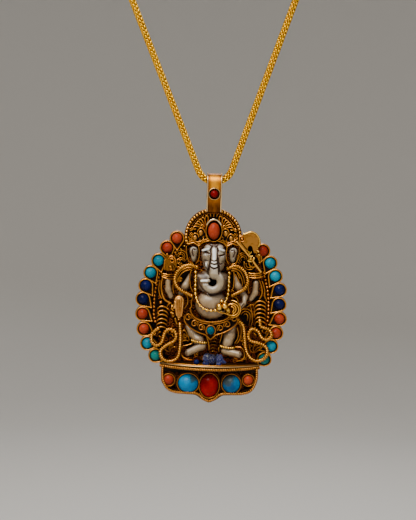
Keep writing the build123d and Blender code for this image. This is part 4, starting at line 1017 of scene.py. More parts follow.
def make_crown_fronds():
    """Crooks of wire that fan out from both sides of the crown's stone, with black gaps between them."""
    fronds = Piece()
    root = np.array(FROND_ROOT)
    for angle in FROND_ANGLES:
        out = np.radians(angle)
        across = np.array((-np.sin(out), np.cos(out)))
        away = np.array((np.cos(out), np.sin(out)))
        side_on = away.dot(root - CROWN)
        reach = -side_on + np.sqrt(side_on**2 - (root - CROWN).dot(root - CROWN) + FROND_REACH**2)
        path = [root + away * reach * share + across * aside for share, aside in FROND]
        fronds.wires([(path, 0.16)], (1.75, 2.05, 2.15, 1.95), 7, BOTH_SIDES)
    for u in (-1.4, -0.7, 0.0, 0.7, 1.4):
        fronds.wire(((u, 43.9), (u * 1.1, 44.4), (u * 1.15, 44.8)), 1.9, 0.14)
    for flip in BOTH_SIDES:
        fronds.curl(flip * 4.95, 39.5, 0.6, 90, -1.3 * flip, 1.95, 0.14, 0.2)
        fronds.balls([(flip * 4.95, 39.5, 2.0)], 0.22)
        fronds.curl(flip * 2.65, 41.55, 0.5, 200 if flip > 0 else -20, -1.2 * flip, 2.3, 0.15, 0.15)
        for u, v, reach in CORNER_CURLS:
            fronds.curl(flip * u, v, reach, 90, 1.3 * flip, 2.1, 0.14)
        fronds.wire(np.array(CORNER_WIRE) * (flip, 1), 2.2, 0.15)
    fronds.make("crown_fronds", antique_gilt)


def make_crown_setting():
    """The oval bezel of the crown's stone, its pale upper lip with a painted highlight, a painted shadow line
    round the stone, and the four leaf cups beside it.
    """
    bezel = Piece().bent(*CROWN_SEAT, 1.9, 0, 355, CROWN_CUP - 0.1, 0.13, 1.32, 6, closed=True)
    bezel.bent(*CROWN_SEAT, 2.12, 0, 355, 1.75, 0.15, 1.28, 6, closed=True)
    bezel.make("crown_bezel_wires", antique_gilt)
    seat = Piece().bent(*CROWN_SEAT, 1.58, 0, 355, CROWN_CUP, 0.17, 1.4, 6, closed=True)
    seat.make("crown_stone_shadow_line", painted_shadow_black)
    # Painted highlight: only the upper arc of the bezel is pale.
    lip = Piece().bent(0.1, 40.75, 1.95, 28, 152, (3.4, 3.66, 3.74, 3.66, 3.4), 0.21, 1.38, 6, 10)
    lip.make("crown_bezel_lip", rubbed_and_highlit_edge)
    leaves, wires = Piece(), Piece()
    for side in (-1, 1):
        for u, v, lean, size in LEAVES:
            leaves.lump((side * (u + lean * 0.35), v - 0.1, 2.0), (size * 0.85, size * 1.05, 0.42))
            ends = (-25, 195) if side > 0 else (205, -15)
            wires.bent(side * u, v + 0.12, size * 0.98, *ends, (2.0, 2.35, 2.5, 2.35, 2.05), 0.16, 1.15)
    leaves.make("crown_leaf_domes", tan_gilt_low)
    wires.make("crown_leaf_wires", antique_gilt)


BROW = ((-6.6, 38.0), (-5.9, 37.4), (-4.6, 37.75), (-3.3, 37.15), (-2.5, 37.85), (-1.2, 38.3), (0.3, 38.42))
BESIDE_EARS = (
    (((-6.3, 36.9), (-6.2, 35.6), (-6.0, 34.4), (-5.5, 33.2), (-4.4, 32.75)), 0.14, (2.0, 2.2, 2.3)),
    (((-3.35, 37.1), (-3.15, 35.4), (-3.3, 33.9), (-3.9, 32.8)), 0.14, (2.6, 2.7, 2.5)),
)


def make_brow_wires():
    """The wire that borders the crown's foot and dips between the forehead and each ear."""
    brow = Piece().wires([(BROW, 0.2)], (2.0, 2.3, 2.5, 2.7, 3.2, 3.4), 8, BOTH_SIDES)
    brow.wires([(np.array(BROW) + (0.1, 0.42), 0.13)], (1.9, 2.1, 2.3, 2.6, 3.0), 6, BOTH_SIDES)
    brow.wires(BESIDE_EARS, flips=BOTH_SIDES)
    brow.make("brow_wires", antique_gilt)
    seeds = Piece().balls([(-6.75, 36.9, 1.5), (-7.45, 36.05, 1.5), (-6.0, 37.9, 2.3), (6.1, 37.7, 2.3)],
                          (0.36, 0.3, 0.25, 0.25))
    seeds.make("crown_foot_granules", bright_gilt)
    ring = Piece().bent(6.75, 39.1, 0.66, 0, 340, 4.46, 0.16, step=20, closed=True)
    ring.balls([(6.75, 39.1, 4.45)], 0.4)
    ring.make("crown_foot_ring", worn_bronze)


# Background
PLATE_FRONT = 1.0
COLUMN = ((12.2, 31.0), (13.0, 28.0), (13.5, 25.0), (13.6, 20.6), (13.2, 18.6))
COLUMN_PITCH = 0.92
# Nested arches up each side: name, side, middle, and the height of each arch's top
COMBS = (
    ("left", -1, -11.5, (22.4, 21.4, 20.45, 19.45, 18.45, 17.5)),
    ("right", 1, 11.6, (24.3, 23.35, 22.4, 21.4, 20.4, 19.45)),
)


def make_columns():
    """Long beads on the columns that stand beside the figure."""
    for side, name in ((-1, "left"), (1, "right")):
        line = at_depth(smooth(np.array(COLUMN) * (side, 1), COLUMN_PITCH), PLATE_FRONT + 0.2)
        Piece().beads(line, (0.45, 0.41, 0.45)).make("column_beads_" + name, worn_bronze)


def make_combs():
    """Nested arches up each side, between the figure and the columns."""
    for name, side, u, tops in COMBS:
        comb = Piece()
        for index, top in enumerate(tops):
            comb.bent(u + 0.03 * side * index, top - 0.95, 1.3, 205, -25, (1.2, 1.8, 2.0, 1.8, 1.2), 0.2,
                      0.74, 10, 7)
        comb.make("arched_comb_" + name, antique_gilt)
    knobs = Piece().balls([(-12.0, 23.3, 1.6), (-12.45, 20.6, 1.5), (-10.3, 21.85, 1.7), (-9.95, 23.3, 1.6),
                           (13.0, 24.3, 1.4), (10.2, 20.9, 1.4)], (0.45, 0.4, 0.28, 0.26, 0.3, 0.25))
    knobs.make("comb_knobs", worn_bronze)


PLATE_EDGE = (
    (-8.2, 37.6), (-9.8, 35.0), (-11.3, 31.8), (-12.7, 27.0), (-13.2, 22.5), (-12.9, 18.0), (-12.2, 14.0),
    (-10.4, 9.6), (10.4, 9.6), (12.2, 14.0), (12.9, 18.0), (13.2, 22.5), (12.8, 27.0), (11.8, 31.8),
    (9.9, 35.0), (7.0, 37.6), (0.0, 38.6),
)
# Places kept free of the fine scrolls, where larger work lies over black: middle and reach
CLEAR = (
    (-7.5, 34.2, 2.0), (7.3, 34.2, 1.9), (8.8, 32.9, 1.6), (8.1, 20.2, 1.9), (-6.6, 29.6, 1.9),
    (6.4, 29.4, 1.9),
    *((u, v, 1.5) for u, low, high in ((-11.5, 16, 24), (11.6, 18, 25)) for v in range(low, high)),
    (-3.9, 12.8, 2.2), (4.6, 15.0, 1.6),
)
GROUND_CORNER = (-14, 9.9)
GROUND_PITCH = 1.14
GROUND_ROWS = 26
GROUND_STRAY = 0.12
FIRST_REACH, LAST_REACH = 0.58, 0.14  # of a scroll, where it starts and ends
GROUND_TURNS = 1.3


def inside(u, v, edge):
    """Whether a flat place is within an outline."""
    hit = False
    for (au, av), (bu, bv) in zip(edge, edge[1:] + edge[:1]):
        if (av > v) != (bv > v) and u < au + (v - av) / (bv - av) * (bu - au):
            hit = not hit
    return hit


def make_ground_scrolls():
    """The fine scrollwork laid on the plate behind everything, seen in the gaps."""
    ground = Piece()
    left, foot = GROUND_CORNER
    for row in range(GROUND_ROWS):
        for column in range(GROUND_ROWS):
            stagger = (row % 2) * GROUND_PITCH / 2
            u = left + column * GROUND_PITCH + stagger + random.uniform(-GROUND_STRAY, GROUND_STRAY)
            v = foot + row * GROUND_PITCH + random.uniform(-GROUND_STRAY, GROUND_STRAY)
            spin = random.uniform(0, 360)
            hand = random.choice((-1, 1))
            taken = any(np.hypot(u - cu, v - cv) < reach for cu, cv, reach in CLEAR)
            if inside(u, v, PLATE_EDGE) and not taken:
                ground.curl(u, v, FIRST_REACH, spin, GROUND_TURNS * hand,
                            (PLATE_FRONT + 0.06, PLATE_FRONT + 0.2), 0.12, LAST_REACH, 30, 5)
    ground.make("ground_scrolls", deep_gilt)


# Nested scrolls: middle, reaches, first and last angle, depth and radius
SHOULDER_ARCS = (
    (-7.5, 34.4, (0.55, 0.95, 1.45), -60, 200, 1.75, 0.13),
    (7.15, 34.2, (0.5, 0.95, 1.4), -20, 240, 1.75, 0.13),
    (-7.35, 33.2, (0.5, 0.9), 20, 300, 2.0, 0.12), (8.7, 32.9, (0.75, 1.25), 150, 380, 1.9, 0.14),
    (-9.6, 22.3, (0.8,), 60, 250, 1.8, 0.13), (-7.6, 29.0, (0.5, 0.22), 0, 340, 2.35, 0.13),
)
# Wires inside the ribbons, and nearer ones beside the chest
RIBBON_WIRES = (
    ((-8.2, 28.2), (-7.9, 29.4), (-7.0, 30.6), (-5.5, 31.3), (-4.6, 31.2)),
    ((-8.4, 27.9), (-8.3, 29.5), (-7.4, 31.0), (-5.8, 31.8), (-4.5, 31.75)),
    ((4.4, 31.3), (5.6, 31.25), (6.4, 30.6), (7.0, 29.4), (7.2, 28.2), (6.7, 27.0)),
    ((4.4, 31.75), (5.8, 31.75), (6.9, 30.95), (7.5, 29.6), (7.7, 28.2)),
    ((5.9, 30.9), (6.3, 30.1), (6.6, 29.5)), ((5.4, 30.6), (6.0, 29.6), (6.5, 28.6)),
)
CHEST_WIRES = (
    ((-5.0, 31.2), (-5.25, 30.0), (-5.2, 28.6), (-5.0, 27.3), (-4.4, 26.0)),
    ((5.0, 31.2), (5.2, 30.2), (5.15, 28.6), (5.0, 27.3), (4.5, 26.2)),
    ((-2.7, 31.4), (-2.2, 31.1), (-1.6, 30.6), (-1.5, 30.2)),
    ((-4.4, 24.9), (-4.75, 23.7), (-4.7, 22.6), (-5.2, 22.0)),
    ((-6.0, 25.6), (-5.6, 24.4), (-5.7, 23.2), (-6.4, 22.0)),
    ((4.6, 26.9), (5.3, 26.4), (5.0, 25.4), (5.9, 24.9), (6.4, 24.0)),
)
ARM_BANDS = (
    (((-12.0, 30.35), (-11.0, 30.1), (-10.0, 30.05), (-9.0, 30.2)), 0.24),
    (((-12.0, 29.5), (-10.8, 29.15), (-9.3, 28.95)), 0.19),
    (((-12.1, 29.9), (-10.6, 29.6), (-9.2, 29.55)), 0.12),
    (((8.5, 30.85), (9.8, 30.75), (11.6, 31.05)), 0.24),
    (((8.5, 29.85), (10.0, 29.75), (12.0, 30.15)), 0.2),
    (((8.5, 30.35), (10.0, 30.3), (11.8, 30.6)), 0.12),
)
ARM_WIRES = (
    (((-11.7, 29.2), (-12.0, 27.6), (-11.75, 25.6), (-11.0, 24.0), (-9.4, 23.15)), 0.28),
    (((-9.0, 28.6), (-9.2, 26.8), (-8.9, 25.4)), 0.16),
    (((-12.3, 28.6), (-12.55, 26.6), (-12.2, 24.9), (-11.7, 24.2)), 0.15),
    (((11.2, 29.2), (11.8, 27.5), (11.9, 26.0), (11.3, 24.6)), 0.2),
    (((11.9, 29.0), (12.5, 27.0), (12.6, 25.4), (13.1, 24.4)), 0.16),
    (((10.3, 23.5), (9.2, 23.25), (8.4, 22.7)), 0.14),
    (((9.3, 23.0), (9.6, 21.6), (9.75, 20.0), (9.9, 18.9)), 0.14),
    (((10.0, 23.2), (10.25, 21.8), (10.3, 20.2)), 0.12), (((8.8, 28.8), (8.6, 27.2), (8.9, 25.9)), 0.15),
    (((-6.2, 18.6), (-5.2, 17.9), (-4.6, 17.2)), 0.12),
)


def make_shoulder_work():
    """Nested scrolls behind the shoulders, inside the ribbons and beside the right leg."""
    work = Piece()
    for row in SHOULDER_ARCS:
        work.arcs(*row)
    for reach, foot in ((0.5, 19.4), (1.1, 18.2), (1.7, 18.0)):
        arch = turn(8.2, 20.6, reach, 170, 0)
        leg = ((8.2 + reach * 0.98, 19.9), (8.2 + reach * 0.8, foot))
        work.wire(np.vstack((arch, leg)), (1.45, 1.8, 1.4), 0.14)
    work.wires([(flat, 0.15) for flat in RIBBON_WIRES], 2.3)
    work.wires([(flat, 0.17) for flat in CHEST_WIRES], 2.6)
    work.make("shoulder_scrolls", antique_gilt)


def make_arm_work():
    """The bands round the upper arms, and the wires that outline the rear arms."""
    Piece().wires(ARM_BANDS, (2.0, 2.45, 2.0), 8).make("armband_wires", antique_gilt)
    Piece().wires(ARM_WIRES, (1.6, 1.9, 1.7), 7).make("rear_arm_wires", antique_gilt)


LEG_WIRES = (
    (((-1.2, 15.9), (-0.7, 14.9), (-0.35, 13.6), (-0.25, 12.3)), 0.17, 2.4),
    (((-6.6, 13.2), (-7.0, 12.0), (-6.6, 10.9), (-5.6, 10.25), (-4.2, 10.15)), 0.2, (2.6, 3.4, 4.0)),
    (((-6.6, 13.15), (-5.4, 13.35), (-4.3, 13.75), (-4.2, 14.0)), 0.15, 2.4),
    (((-6.5, 14.2), (-5.8, 14.5), (-5.1, 14.2)), 0.12, 1.9),
    (((-6.7, 16.5), (-6.2, 16.9), (-5.7, 16.2), (-5.2, 15.2), (-5.0, 14.4)), 0.15, 2.0),
    (((2.7, 16.4), (2.5, 15.2), (2.2, 14.0)), 0.18, 2.4),
    (((2.1, 13.1), (2.0, 12.5), (2.2, 12.0)), 0.15, 2.8),
    (((6.2, 17.9), (6.6, 16.6), (6.4, 15.2), (5.7, 14.0)), 0.17, 2.3),
    (((6.3, 19.3), (7.1, 18.2), (7.25, 16.4), (6.85, 14.9), (6.2, 13.9)), 0.17, 2.1),
    (((5.7, 13.2), (7.3, 13.2), (8.0, 12.3), (8.15, 11.2), (7.6, 10.35), (6.3, 10.1)), 0.2, (2.6, 3.2, 3.8)),
    (((7.6, 13.9), (8.6, 12.4), (8.7, 11.0), (8.2, 10.1)), 0.15, 2.0),
)
RUNGS = (15.1, 14.3, 13.5, 12.7, 11.95)
# Curls round the legs: place, first angle and hand
LEG_CURLS = ((-6.0, 15.4, 90, 1), (-6.9, 14.6, 0, -1), (7.4, 15.0, 120, -1), (-3.2, 11.0, 40, 1),
             (-1.7, 10.1, 200, -1), (6.0, 9.8, 20, 1))
# Fronds inside the S scrolls: root, and the tip of each
FRONDS = (
    ((-9.5, 11.5), ((-11.0, 13.0), (-9.2, 13.4), (-8.1, 12.9))),
    ((-12.5, 15.1), ((-12.0, 16.4), (-13.2, 15.9), (-11.8, 15.0))),
    ((-9.5, 15.6), ((-10.2, 16.5), (-9.0, 16.4), (-8.8, 15.2))),
    ((10.6, 11.7), ((9.3, 13.6), (10.9, 14.1), (12.3, 13.4), (12.7, 12.2))),
    ((10.1, 16.4), ((9.6, 17.1), (10.8, 17.0), (10.9, 15.9))),
    ((12.9, 16.6), ((12.2, 17.2), (13.4, 17.1), (13.4, 16.0))),
)


def make_leg_work():
    """The wires that outline the legs and feet, the rungs between them, and fronds in the lower scrolls."""
    lines = Piece().wires(LEG_WIRES, sides=7)
    for rung in RUNGS:
        lines.bent(0.75, rung - 0.55, 0.95, 170, 10, (1.5, 1.8, 1.5), 0.13, 0.62, sides=6)
    for u, v, spin, hand in LEG_CURLS:
        lines.curl(u, v, 0.62, spin, 1.4 * hand, 1.9, 0.13, 0.13, 24)
    lines.make("leg_wires", antique_gilt)
    fronds = Piece()
    for root, tips in FRONDS:
        for tip in tips:
            start, stop = np.array(root), np.array(tip)
            run = stop - start
            side = np.array((-run[1], run[0])) * 0.22
            fronds.wire((start, start + run * 0.45 + side, stop, stop - side * 0.9 - run * 0.14,
                         stop - run * 0.28 + side * 0.2), (1.35, 1.75, 1.6), 0.14)
            fronds.balls([(*(stop - run * 0.22), 1.7)], 0.2)
    fronds.make("scroll_fronds", antique_gilt)


# Skirt and belly band
SKIRT_FRONT = 4.5
# Coils down the skirt's right half: middle, reach and first angle
SKIRT_COILS = ((5.35, 20.3, 0.9, 200), (3.85, 18.85, 0.88, 220), (2.2, 17.95, 0.82, 230))
SKIRT_HEM = ((6.35, 20.6), (6.1, 19.2), (5.0, 18.0), (3.4, 17.05), (2.3, 16.6), (1.3, 16.3), (0.9, 16.0),
             (0.0, 15.1))
BELLY_BAND = ((5.0, 22.5), (4.6, 21.2), (3.6, 20.2), (2.0, 19.55), (0.0, 19.3))


def make_skirt_work():
    """Coils with a ball in each along the skirt, between the belly band and its lower wire."""
    wires, knobs = Piece(), Piece()
    top = SKIRT_FRONT
    for side in (-1, 1):
        for u, v, reach, spin in SKIRT_COILS:
            wires.curl(side * u, v, reach, spin if side > 0 else 180 - spin, -1.35 * side,
                       (top + 0.1, top + 0.14, top + 0.2), 0.16, 0.3, 15, 7)
            knobs.balls([(side * (u - 0.1), v + 0.05, top + 0.1)], 0.15)
        band = np.array(BELLY_BAND)
        wires.wire(np.array(SKIRT_HEM) * (side, 1), top + 0.12, 0.17, 8)
        wires.wire(band * (side, 1), (4.3, top + 0.2, top + 0.25), 0.24, 8)
        wires.wire((band + (0.1, -0.48)) * (side, 1), (4.1, top + 0.1, top + 0.15), 0.13)
    wires.bent(0, 17.35, 1.1, -50, 230, 4.85, 0.15, 1.12, 8)
    wires.make("skirt_coils", skirt_gilt)
    knobs.make("skirt_knobs", worn_bronze)


# Base and ledge
BASE_LINE = ((11.5, 8.2), (11.4, 5.6), (10.3, 3.2), (8.0, 2.1), (3.1, 1.9), (1.7, 0.8), (0.0, 0.0))
BASE_FRONT = 4.6
# Settings on the base: middle, half width and half height
BASE_SETTINGS = ((-9.6, 5.3, 1.15, 1.15), (-5.0, 4.6, 2.3, 2.15), (0.0, 4.2, 2.1, 2.7), (5.2, 4.7, 2.0, 2.1),
                 (9.2, 5.7, 1.1, 1.1))
# Curls between the settings: place and reach
BASE_CURLS = ((-7.75, 6.3, 0.5), (-7.6, 3.3, 0.42), (2.35, 6.9, 0.4), (-2.4, 6.8, 0.4), (7.6, 6.9, 0.42),
              (7.85, 3.5, 0.45), (2.8, 2.7, 0.35), (-2.7, 2.6, 0.35), (10.4, 6.9, 0.35), (-10.6, 7.1, 0.35),
              (10.2, 4.3, 0.33), (-10.6, 4.0, 0.3))
LEDGE = (11.8, 6.9, 2.9)  # half width, and depth at the middle and at the ends


def make_base_work():
    """The rope round the base tray, the bezel wires, and curls between the settings."""
    half = smooth(BASE_LINE, 0.2)
    slope = np.gradient(half, axis=0)
    away = np.column_stack((slope[:, 1], -slope[:, 0])) / np.hypot(slope[:, 0], slope[:, 1])[:, None]
    inset = half + away * 0.37
    inset = inset[inset[:, 0] >= 0]
    whole = np.vstack((inset * (-1, 1), inset[::-1]))
    rope = Piece().ribs(at_depth(evenly(whole, 0.2), BASE_FRONT + 0.05), 0.42, 0.52, 24, 0.5)
    rope.make("base_rope", rope_gilt)
    bezels = Piece()
    for u, v, half_w, half_h in BASE_SETTINGS:
        for out, depth, radius in ((0.3, BASE_FRONT + 0.05, 0.15), (0.58, 3.3, 0.13)):
            bezels.bent(u, v, half_w + out, 0, 355, depth, radius, (half_h + out) / (half_w + out), 8,
                        closed=True)
    for u, v, reach in BASE_CURLS:
        bezels.curl(u, v, reach, 30, 1.5, 2.75, 0.12, 0.1)
    bezels.make("base_bezel_wires", dull_gilt)


def ledge_line(out, v_middle, v_ends, half=11.6):
    """A line along the ledge's front."""
    half_w, middle, ends = LEDGE
    rise = middle - ends
    radius = (half_w**2 + rise**2) / (2 * rise)
    u = np.linspace(-half, half, 130)
    depth = np.sqrt(radius**2 - u**2) - radius + middle + out
    lift = v_ends + (v_middle - v_ends) * (1 - (u / half)**2)
    return np.column_stack((u, lift, depth))


def make_ledge_work():
    """The ledge's edge: a pale wire above, rubbed and with a painted highlight, a plain one behind it, and a
    rope below.
    """
    Piece().tube(ledge_line(0.0, 9.0, 9.05), 0.15, sides=10).make("ledge_edge_wire", rubbed_and_highlit_bronze)
    Piece().tube(ledge_line(-0.55, 9.2, 9.2, 11.3), 0.15).make("ledge_back_wire", antique_gilt)
    Piece().ribs(ledge_line(0.14, 8.34, 8.5), 0.45, 0.54, 26, 0.5).make("ledge_rope", rope_gilt)


# Bowl, hands, emblem and axe
SWEETS = ((1.85, 23.55, 7.95), (3.1, 23.65, 8.0), (2.4, 24.7, 7.7))
SWEET_R = (0.78, 0.82, 0.52)
FINGERS = ((-8.4, -8.05, 20.7), (-7.87, -7.72, 20.2), (-7.33, -7.36, 20.15), (-6.82, -7.0, 20.6))


def make_bowl_work():
    """Wire rings round the dish, the sweets heaped on it, and the granules beside them."""
    rings = Piece().bent(5.0, 22.6, 1.42, 0, 350, 6.12, 0.2, step=10, closed=True)
    for reach in (0.95, 0.5):
        rings.bent(4.8, 22.7, reach, -75, 105, 6.2, 0.2, 1.1, 8)
    rings.bent(4.85, 22.65, 1.95, -100, 100, (5.2, 5.8, 6.0, 5.8, 5.2), 0.2, step=8)
    rings.wire(((1.0, 22.7), (1.9, 22.0), (3.2, 21.8), (4.4, 21.3)), 7.0, 0.15)
    rings.make("bowl_rings", worn_gilt)
    spark = Piece().balls([(4.15, 22.1, 6.7), (2.3, 22.3, 7.3), *SWEETS], (0.26, 0.24, *SWEET_R))
    spark.make("bowl_granules", bright_gilt, slot="bright_gilt")
    Piece().lump((2.55, 22.75, 8.1), (0.5, 0.32, 0.3)).make("sweet_shadow", painted_shadow_black)


def make_giving_hand():
    """The giving hand: a rounded palm, and four fingers that hang side by side."""
    hand = melt(0.22, egg((-7.6, 23.9, 3.7), (1.28, 1.45, 0.78)),
                *(bar((top, 23.6, 3.95), 0.38, (foot, low, 3.9), 0.27) for top, foot, low in FINGERS))
    hand = melt(0.15, hand, bar((-8.5, 23.6, 4.0), 0.3, (-8.8, 22.3, 4.1), 0.22))
    cuts = [(((top, 24.3), (middle, 22.4), (foot, 20.2)), 0.1, 0.32) for top, middle, foot in (
        (-8.12, -8.0, -7.88), (-7.6, -7.56, -7.54), (-7.08, -7.14, -7.18))]
    cuts.append((((-8.5, 24.0), (-8.2, 24.75), (-7.6, 25.0), (-7.0, 24.8), (-6.7, 24.1)), 0.1, 0.16))
    piece = carve(hand, (-9.4, 19.3, 2.7), (-5.9, 25.6, 5.0), 0.09, cuts, 3.9)
    piece.make("carved_giving_hand", tan_gilt, replaces=("giving_hand",))
    trim = Piece().wire(((-9.15, 23.0), (-9.3, 22.2), (-8.9, 21.5)), (2.7, 3.1, 2.8), 0.2, 8)
    trim.wire(((-8.5, 19.9), (-8.2, 19.0), (-7.9, 18.4)), (3.2, 3.6), 0.15)
    trim.balls([(-9.4, 21.05, 2.6), (-9.0, 20.9, 2.8), (-7.6, 19.65, 3.9), (-9.0, 20.2, 2.6)],
               (0.3, 0.28, 0.22, 0.22))
    trim.make("giving_hand_trim", worn_gilt)


def make_emblem_work():
    """What the rear left hand holds, with the fingers that curl round it."""
    wires = Piece().wire(((-10.35, 33.9), (-9.9, 34.5), (-9.2, 34.45), (-8.75, 33.8), (-8.8, 33.0)),
                         (3.7, 3.85, 3.8), 0.2, 8)
    wires.wire(((-11.15, 31.3), (-11.35, 32.6), (-11.15, 33.6)), 3.5, 0.12)
    wires.wire(((-8.75, 32.4), (-8.2, 31.9), (-7.5, 32.1)), 3.0, 0.17, 8)
    wires.arcs(-8.0, 33.3, (0.5,), 0, 300, 2.7, 0.14)
    wires.wire(((-8.9, 35.5), (-8.7, 34.9), (-8.3, 34.6)), 2.4, 0.16)
    wires.wire(((-10.75, 34.6), (-10.7, 35.1)), 3.4, 0.24, 8)
    wires.curl(-9.45, 33.55, 0.62, 60, 1.2, 3.72, 0.13, 0.3, sides=7)
    wires.balls([(-9.7, 31.5, 3.6), (-8.0, 35.0, 2.2)], (0.42, 0.2))
    wires.make("emblem_wires", worn_bronze)
    # Painted shadow: black in the gaps round the swirl and beside the fingers.
    gap = Piece().lump((-9.45, 33.55, 3.58), (0.3, 0.36, 0.12))
    gap.wire(((-9.3, 32.6), (-8.9, 32.2), (-8.6, 31.4)), 3.55, 0.1)
    gap.make("emblem_gap_shadows", painted_shadow_black)


AXE_EDGE = ((6.9, 40.15), (7.7, 40.35), (8.8, 40.78), (10.0, 40.35), (10.75, 39.3), (10.95, 38.3),
            (10.6, 37.3))
AXE_HANDLE = ((5.5, 38.45), (7.1, 36.7), (8.6, 35.0), (10.1, 33.1), (11.5, 31.3))
AXE_GRIP = (
    (((8.75, 34.2), (8.9, 34.7), (9.05, 35.2)), 0.27), (((9.45, 34.1), (9.6, 34.5), (9.75, 34.75)), 0.27),
    (((8.2, 34.0), (8.7, 33.9), (9.2, 33.8)), 0.2),
    (((8.45, 36.0), (8.6, 36.8), (8.9, 36.9), (9.0, 36.2), (8.8, 35.6)), 0.15),
    (((8.3, 36.4), (8.5, 35.8), (8.7, 35.3)), 0.13),
)


def make_axe_work():
    """The raised edge of the axe, and the knot and fingers that grip its handle."""
    Piece().wire(AXE_EDGE, (4.35, 4.4, 4.35), 0.2, 8).make("axe_edge", bright_gilt)
    # Painted shadow: black in the axe's notch and along the handle's upper side.
    notch = Piece().lump((8.72, 36.75, 4.42), (0.62, 0.85, 0.14))
    notch.wire(((6.2, 38.9), (7.0, 37.7), (8.0, 36.6)), 4.38, 0.12)
    notch.make("axe_notch_shadow", painted_shadow_black)
    handle = Piece().wire(AXE_HANDLE, (4.2, 4.15, 4.1, 4.0, 3.9), 0.3, 10)
    handle.make("axe_handle_sleeve", worn_gilt)
    grip = Piece().wires(AXE_GRIP, 4.35, 8)
    grip.balls([(10.6, 36.25, 4.6), (10.85, 35.45, 4.0), (9.35, 35.1, 4.3)], (0.32, 0.34, 0.2))
    grip.make("axe_grip", bright_gilt)
    arms = Piece().arcs(10.7, 34.5, (0.45, 0.85), -60, 150, 2.4, 0.16)
    arms.wire(((9.0, 34.0), (8.6, 33.2), (9.3, 32.4), (10.4, 32.6)), 2.6, 0.2, 8)
    arms.make("axe_hand_wires", antique_gilt)


# Anklets and mouse: name, middle, reach and slope in degrees of each anklet
ANKLETS = (("anklet_left", (-2.7, 14.5, 3.15), 1.72, -8), ("anklet_right", (4.0, 13.4, 3.5), 1.62, -6))
ANKLET_BEADS = 18


def make_anklets():
    """Rings of beads round the ankles."""
    for name, (u, v, depth), reach, lean in ANKLETS:
        angle = np.radians(np.arange(0, 360, 360 / ANKLET_BEADS))
        slope = np.tan(np.radians(lean))
        places = np.column_stack((u + reach * np.cos(angle), v + reach * np.cos(angle) * slope,
                                  depth + reach * np.sin(angle)))
        beads = Piece().balls(places, 0.33).tube(places, 0.17, closed=True, lift=(0, 1, 0))
        beads.make("beaded_" + name, bright_gilt, slot="bright_gilt", replaces=(name,))


def make_mouse():
    """The mouse, worked in rough lapis: round back, head with two ears, and a short snout."""
    body = melt(
        0.3, egg((-0.55, 10.75, 5.2), (1.2, 1.25, 1.1)), egg((0.6, 10.55, 5.2), (1.1, 1.25, 1.05)),
        egg((2.15, 10.5, 5.3), (1.1, 1.12, 0.98)), bar((2.6, 10.3, 5.4), 0.7, (3.55, 9.95, 5.5), 0.34))
    body = melt(
        0.15, body, egg((1.75, 11.5, 5.2), (0.4, 0.42, 0.3)), egg((2.5, 11.45, 5.4), (0.4, 0.42, 0.3)),
        bar((-1.3, 9.6, 5.5), 0.42, (-0.6, 9.6, 5.9), 0.4),
        bar((1.6, 9.6, 5.8), 0.38, (2.3, 9.55, 6.1), 0.34),
        egg((0.0, 11.2, 5.9), (0.45, 0.45, 0.35)), egg((0.9, 10.7, 6.1), (0.4, 0.5, 0.3)),
        egg((-0.8, 10.4, 6.1), (0.45, 0.4, 0.3)))
    cuts = (
        (((1.35, 11.4), (1.25, 10.4), (1.4, 9.5)), 0.16, 0.3),
        (((-0.3, 11.9), (-0.35, 10.9), (0.1, 10.1)), 0.12, 0.16), (((-1.4, 10.9), (-0.9, 10.6)), 0.12, 0.14),
        (((2.1, 11.0), (2.3, 10.4), (2.0, 9.9)), 0.1, 0.14),
        (((0.5, 11.6), (0.7, 10.9), (0.4, 10.3), (0.6, 9.7)), 0.12, 0.16),
        (((2.9, 10.7), (3.1, 10.2)), 0.08, 0.1),
    )
    piece = carve(body, (-2.0, 9.0, 3.7), (4.1, 12.2, 6.7), 0.1, cuts, 5.0)
    piece.make("carved_mouse", rough_lapis, slot="lapis", replaces=("mouse",))


# Bail
BAIL_AXIS_DEPTH = 1.69
BAIL_OUTER_R = 2.1
BAIL_EDGE_U = 1.62
BAIL_STONE_V = 49.4


def bail_path(u, out):
    """The line that the bail's strip follows at a place across it, as grid places."""
    depth, radius = BAIL_AXIS_DEPTH, BAIL_OUTER_R + out
    arch = [(u, AXIS_UP + radius * np.sin(t), depth - radius * np.cos(t)) for t in np.linspace(0, np.pi, 26)]
    return np.array([(u, 44.4, depth - radius), (u, 48.0, depth - radius)] + arch
                    + [(u, 50.2, depth + radius), (u, 48.3, depth + radius), (u, 46.6, 3.4 + out),
                       (u, 45.1, 3.0 + out)])


def make_bail_work():
    """The bail's rolled edges, and the bezel of its stone."""
    edges = Piece()
    for u in (-BAIL_EDGE_U, BAIL_EDGE_U):
        edges.tube(evenly(bail_path(u, 0.05), 0.25), 0.17, lift=(1, 0, 0))
    edges.make("bail_edges", bail_edge)
    bezel = Piece().bent(0, BAIL_STONE_V, 1.33, 0, 350, 3.9, 0.13, step=10, closed=True)
    bezel.make("bail_bezel", rubbed_and_highlit_bronze)
    seat = Piece().bent(0, BAIL_STONE_V, 1.08, 0, 350, 4.24, 0.14, step=10, closed=True)
    seat.make("bail_bezel_shadow_line", painted_shadow_black)


for make_work in (
        make_chain, make_clasp_trim, make_head, make_ears, make_torso, make_limbs, make_rim, make_strands,
        make_crown_rope, make_crown_fronds, make_crown_setting, make_brow_wires, make_columns, make_combs,
        make_ground_scrolls, make_shoulder_work, make_arm_work, make_leg_work, make_skirt_work,
        make_base_work, make_ledge_work, make_bowl_work, make_giving_hand, make_emblem_work, make_axe_work,
        make_anklets, make_mouse, make_bail_work):
    make_work()

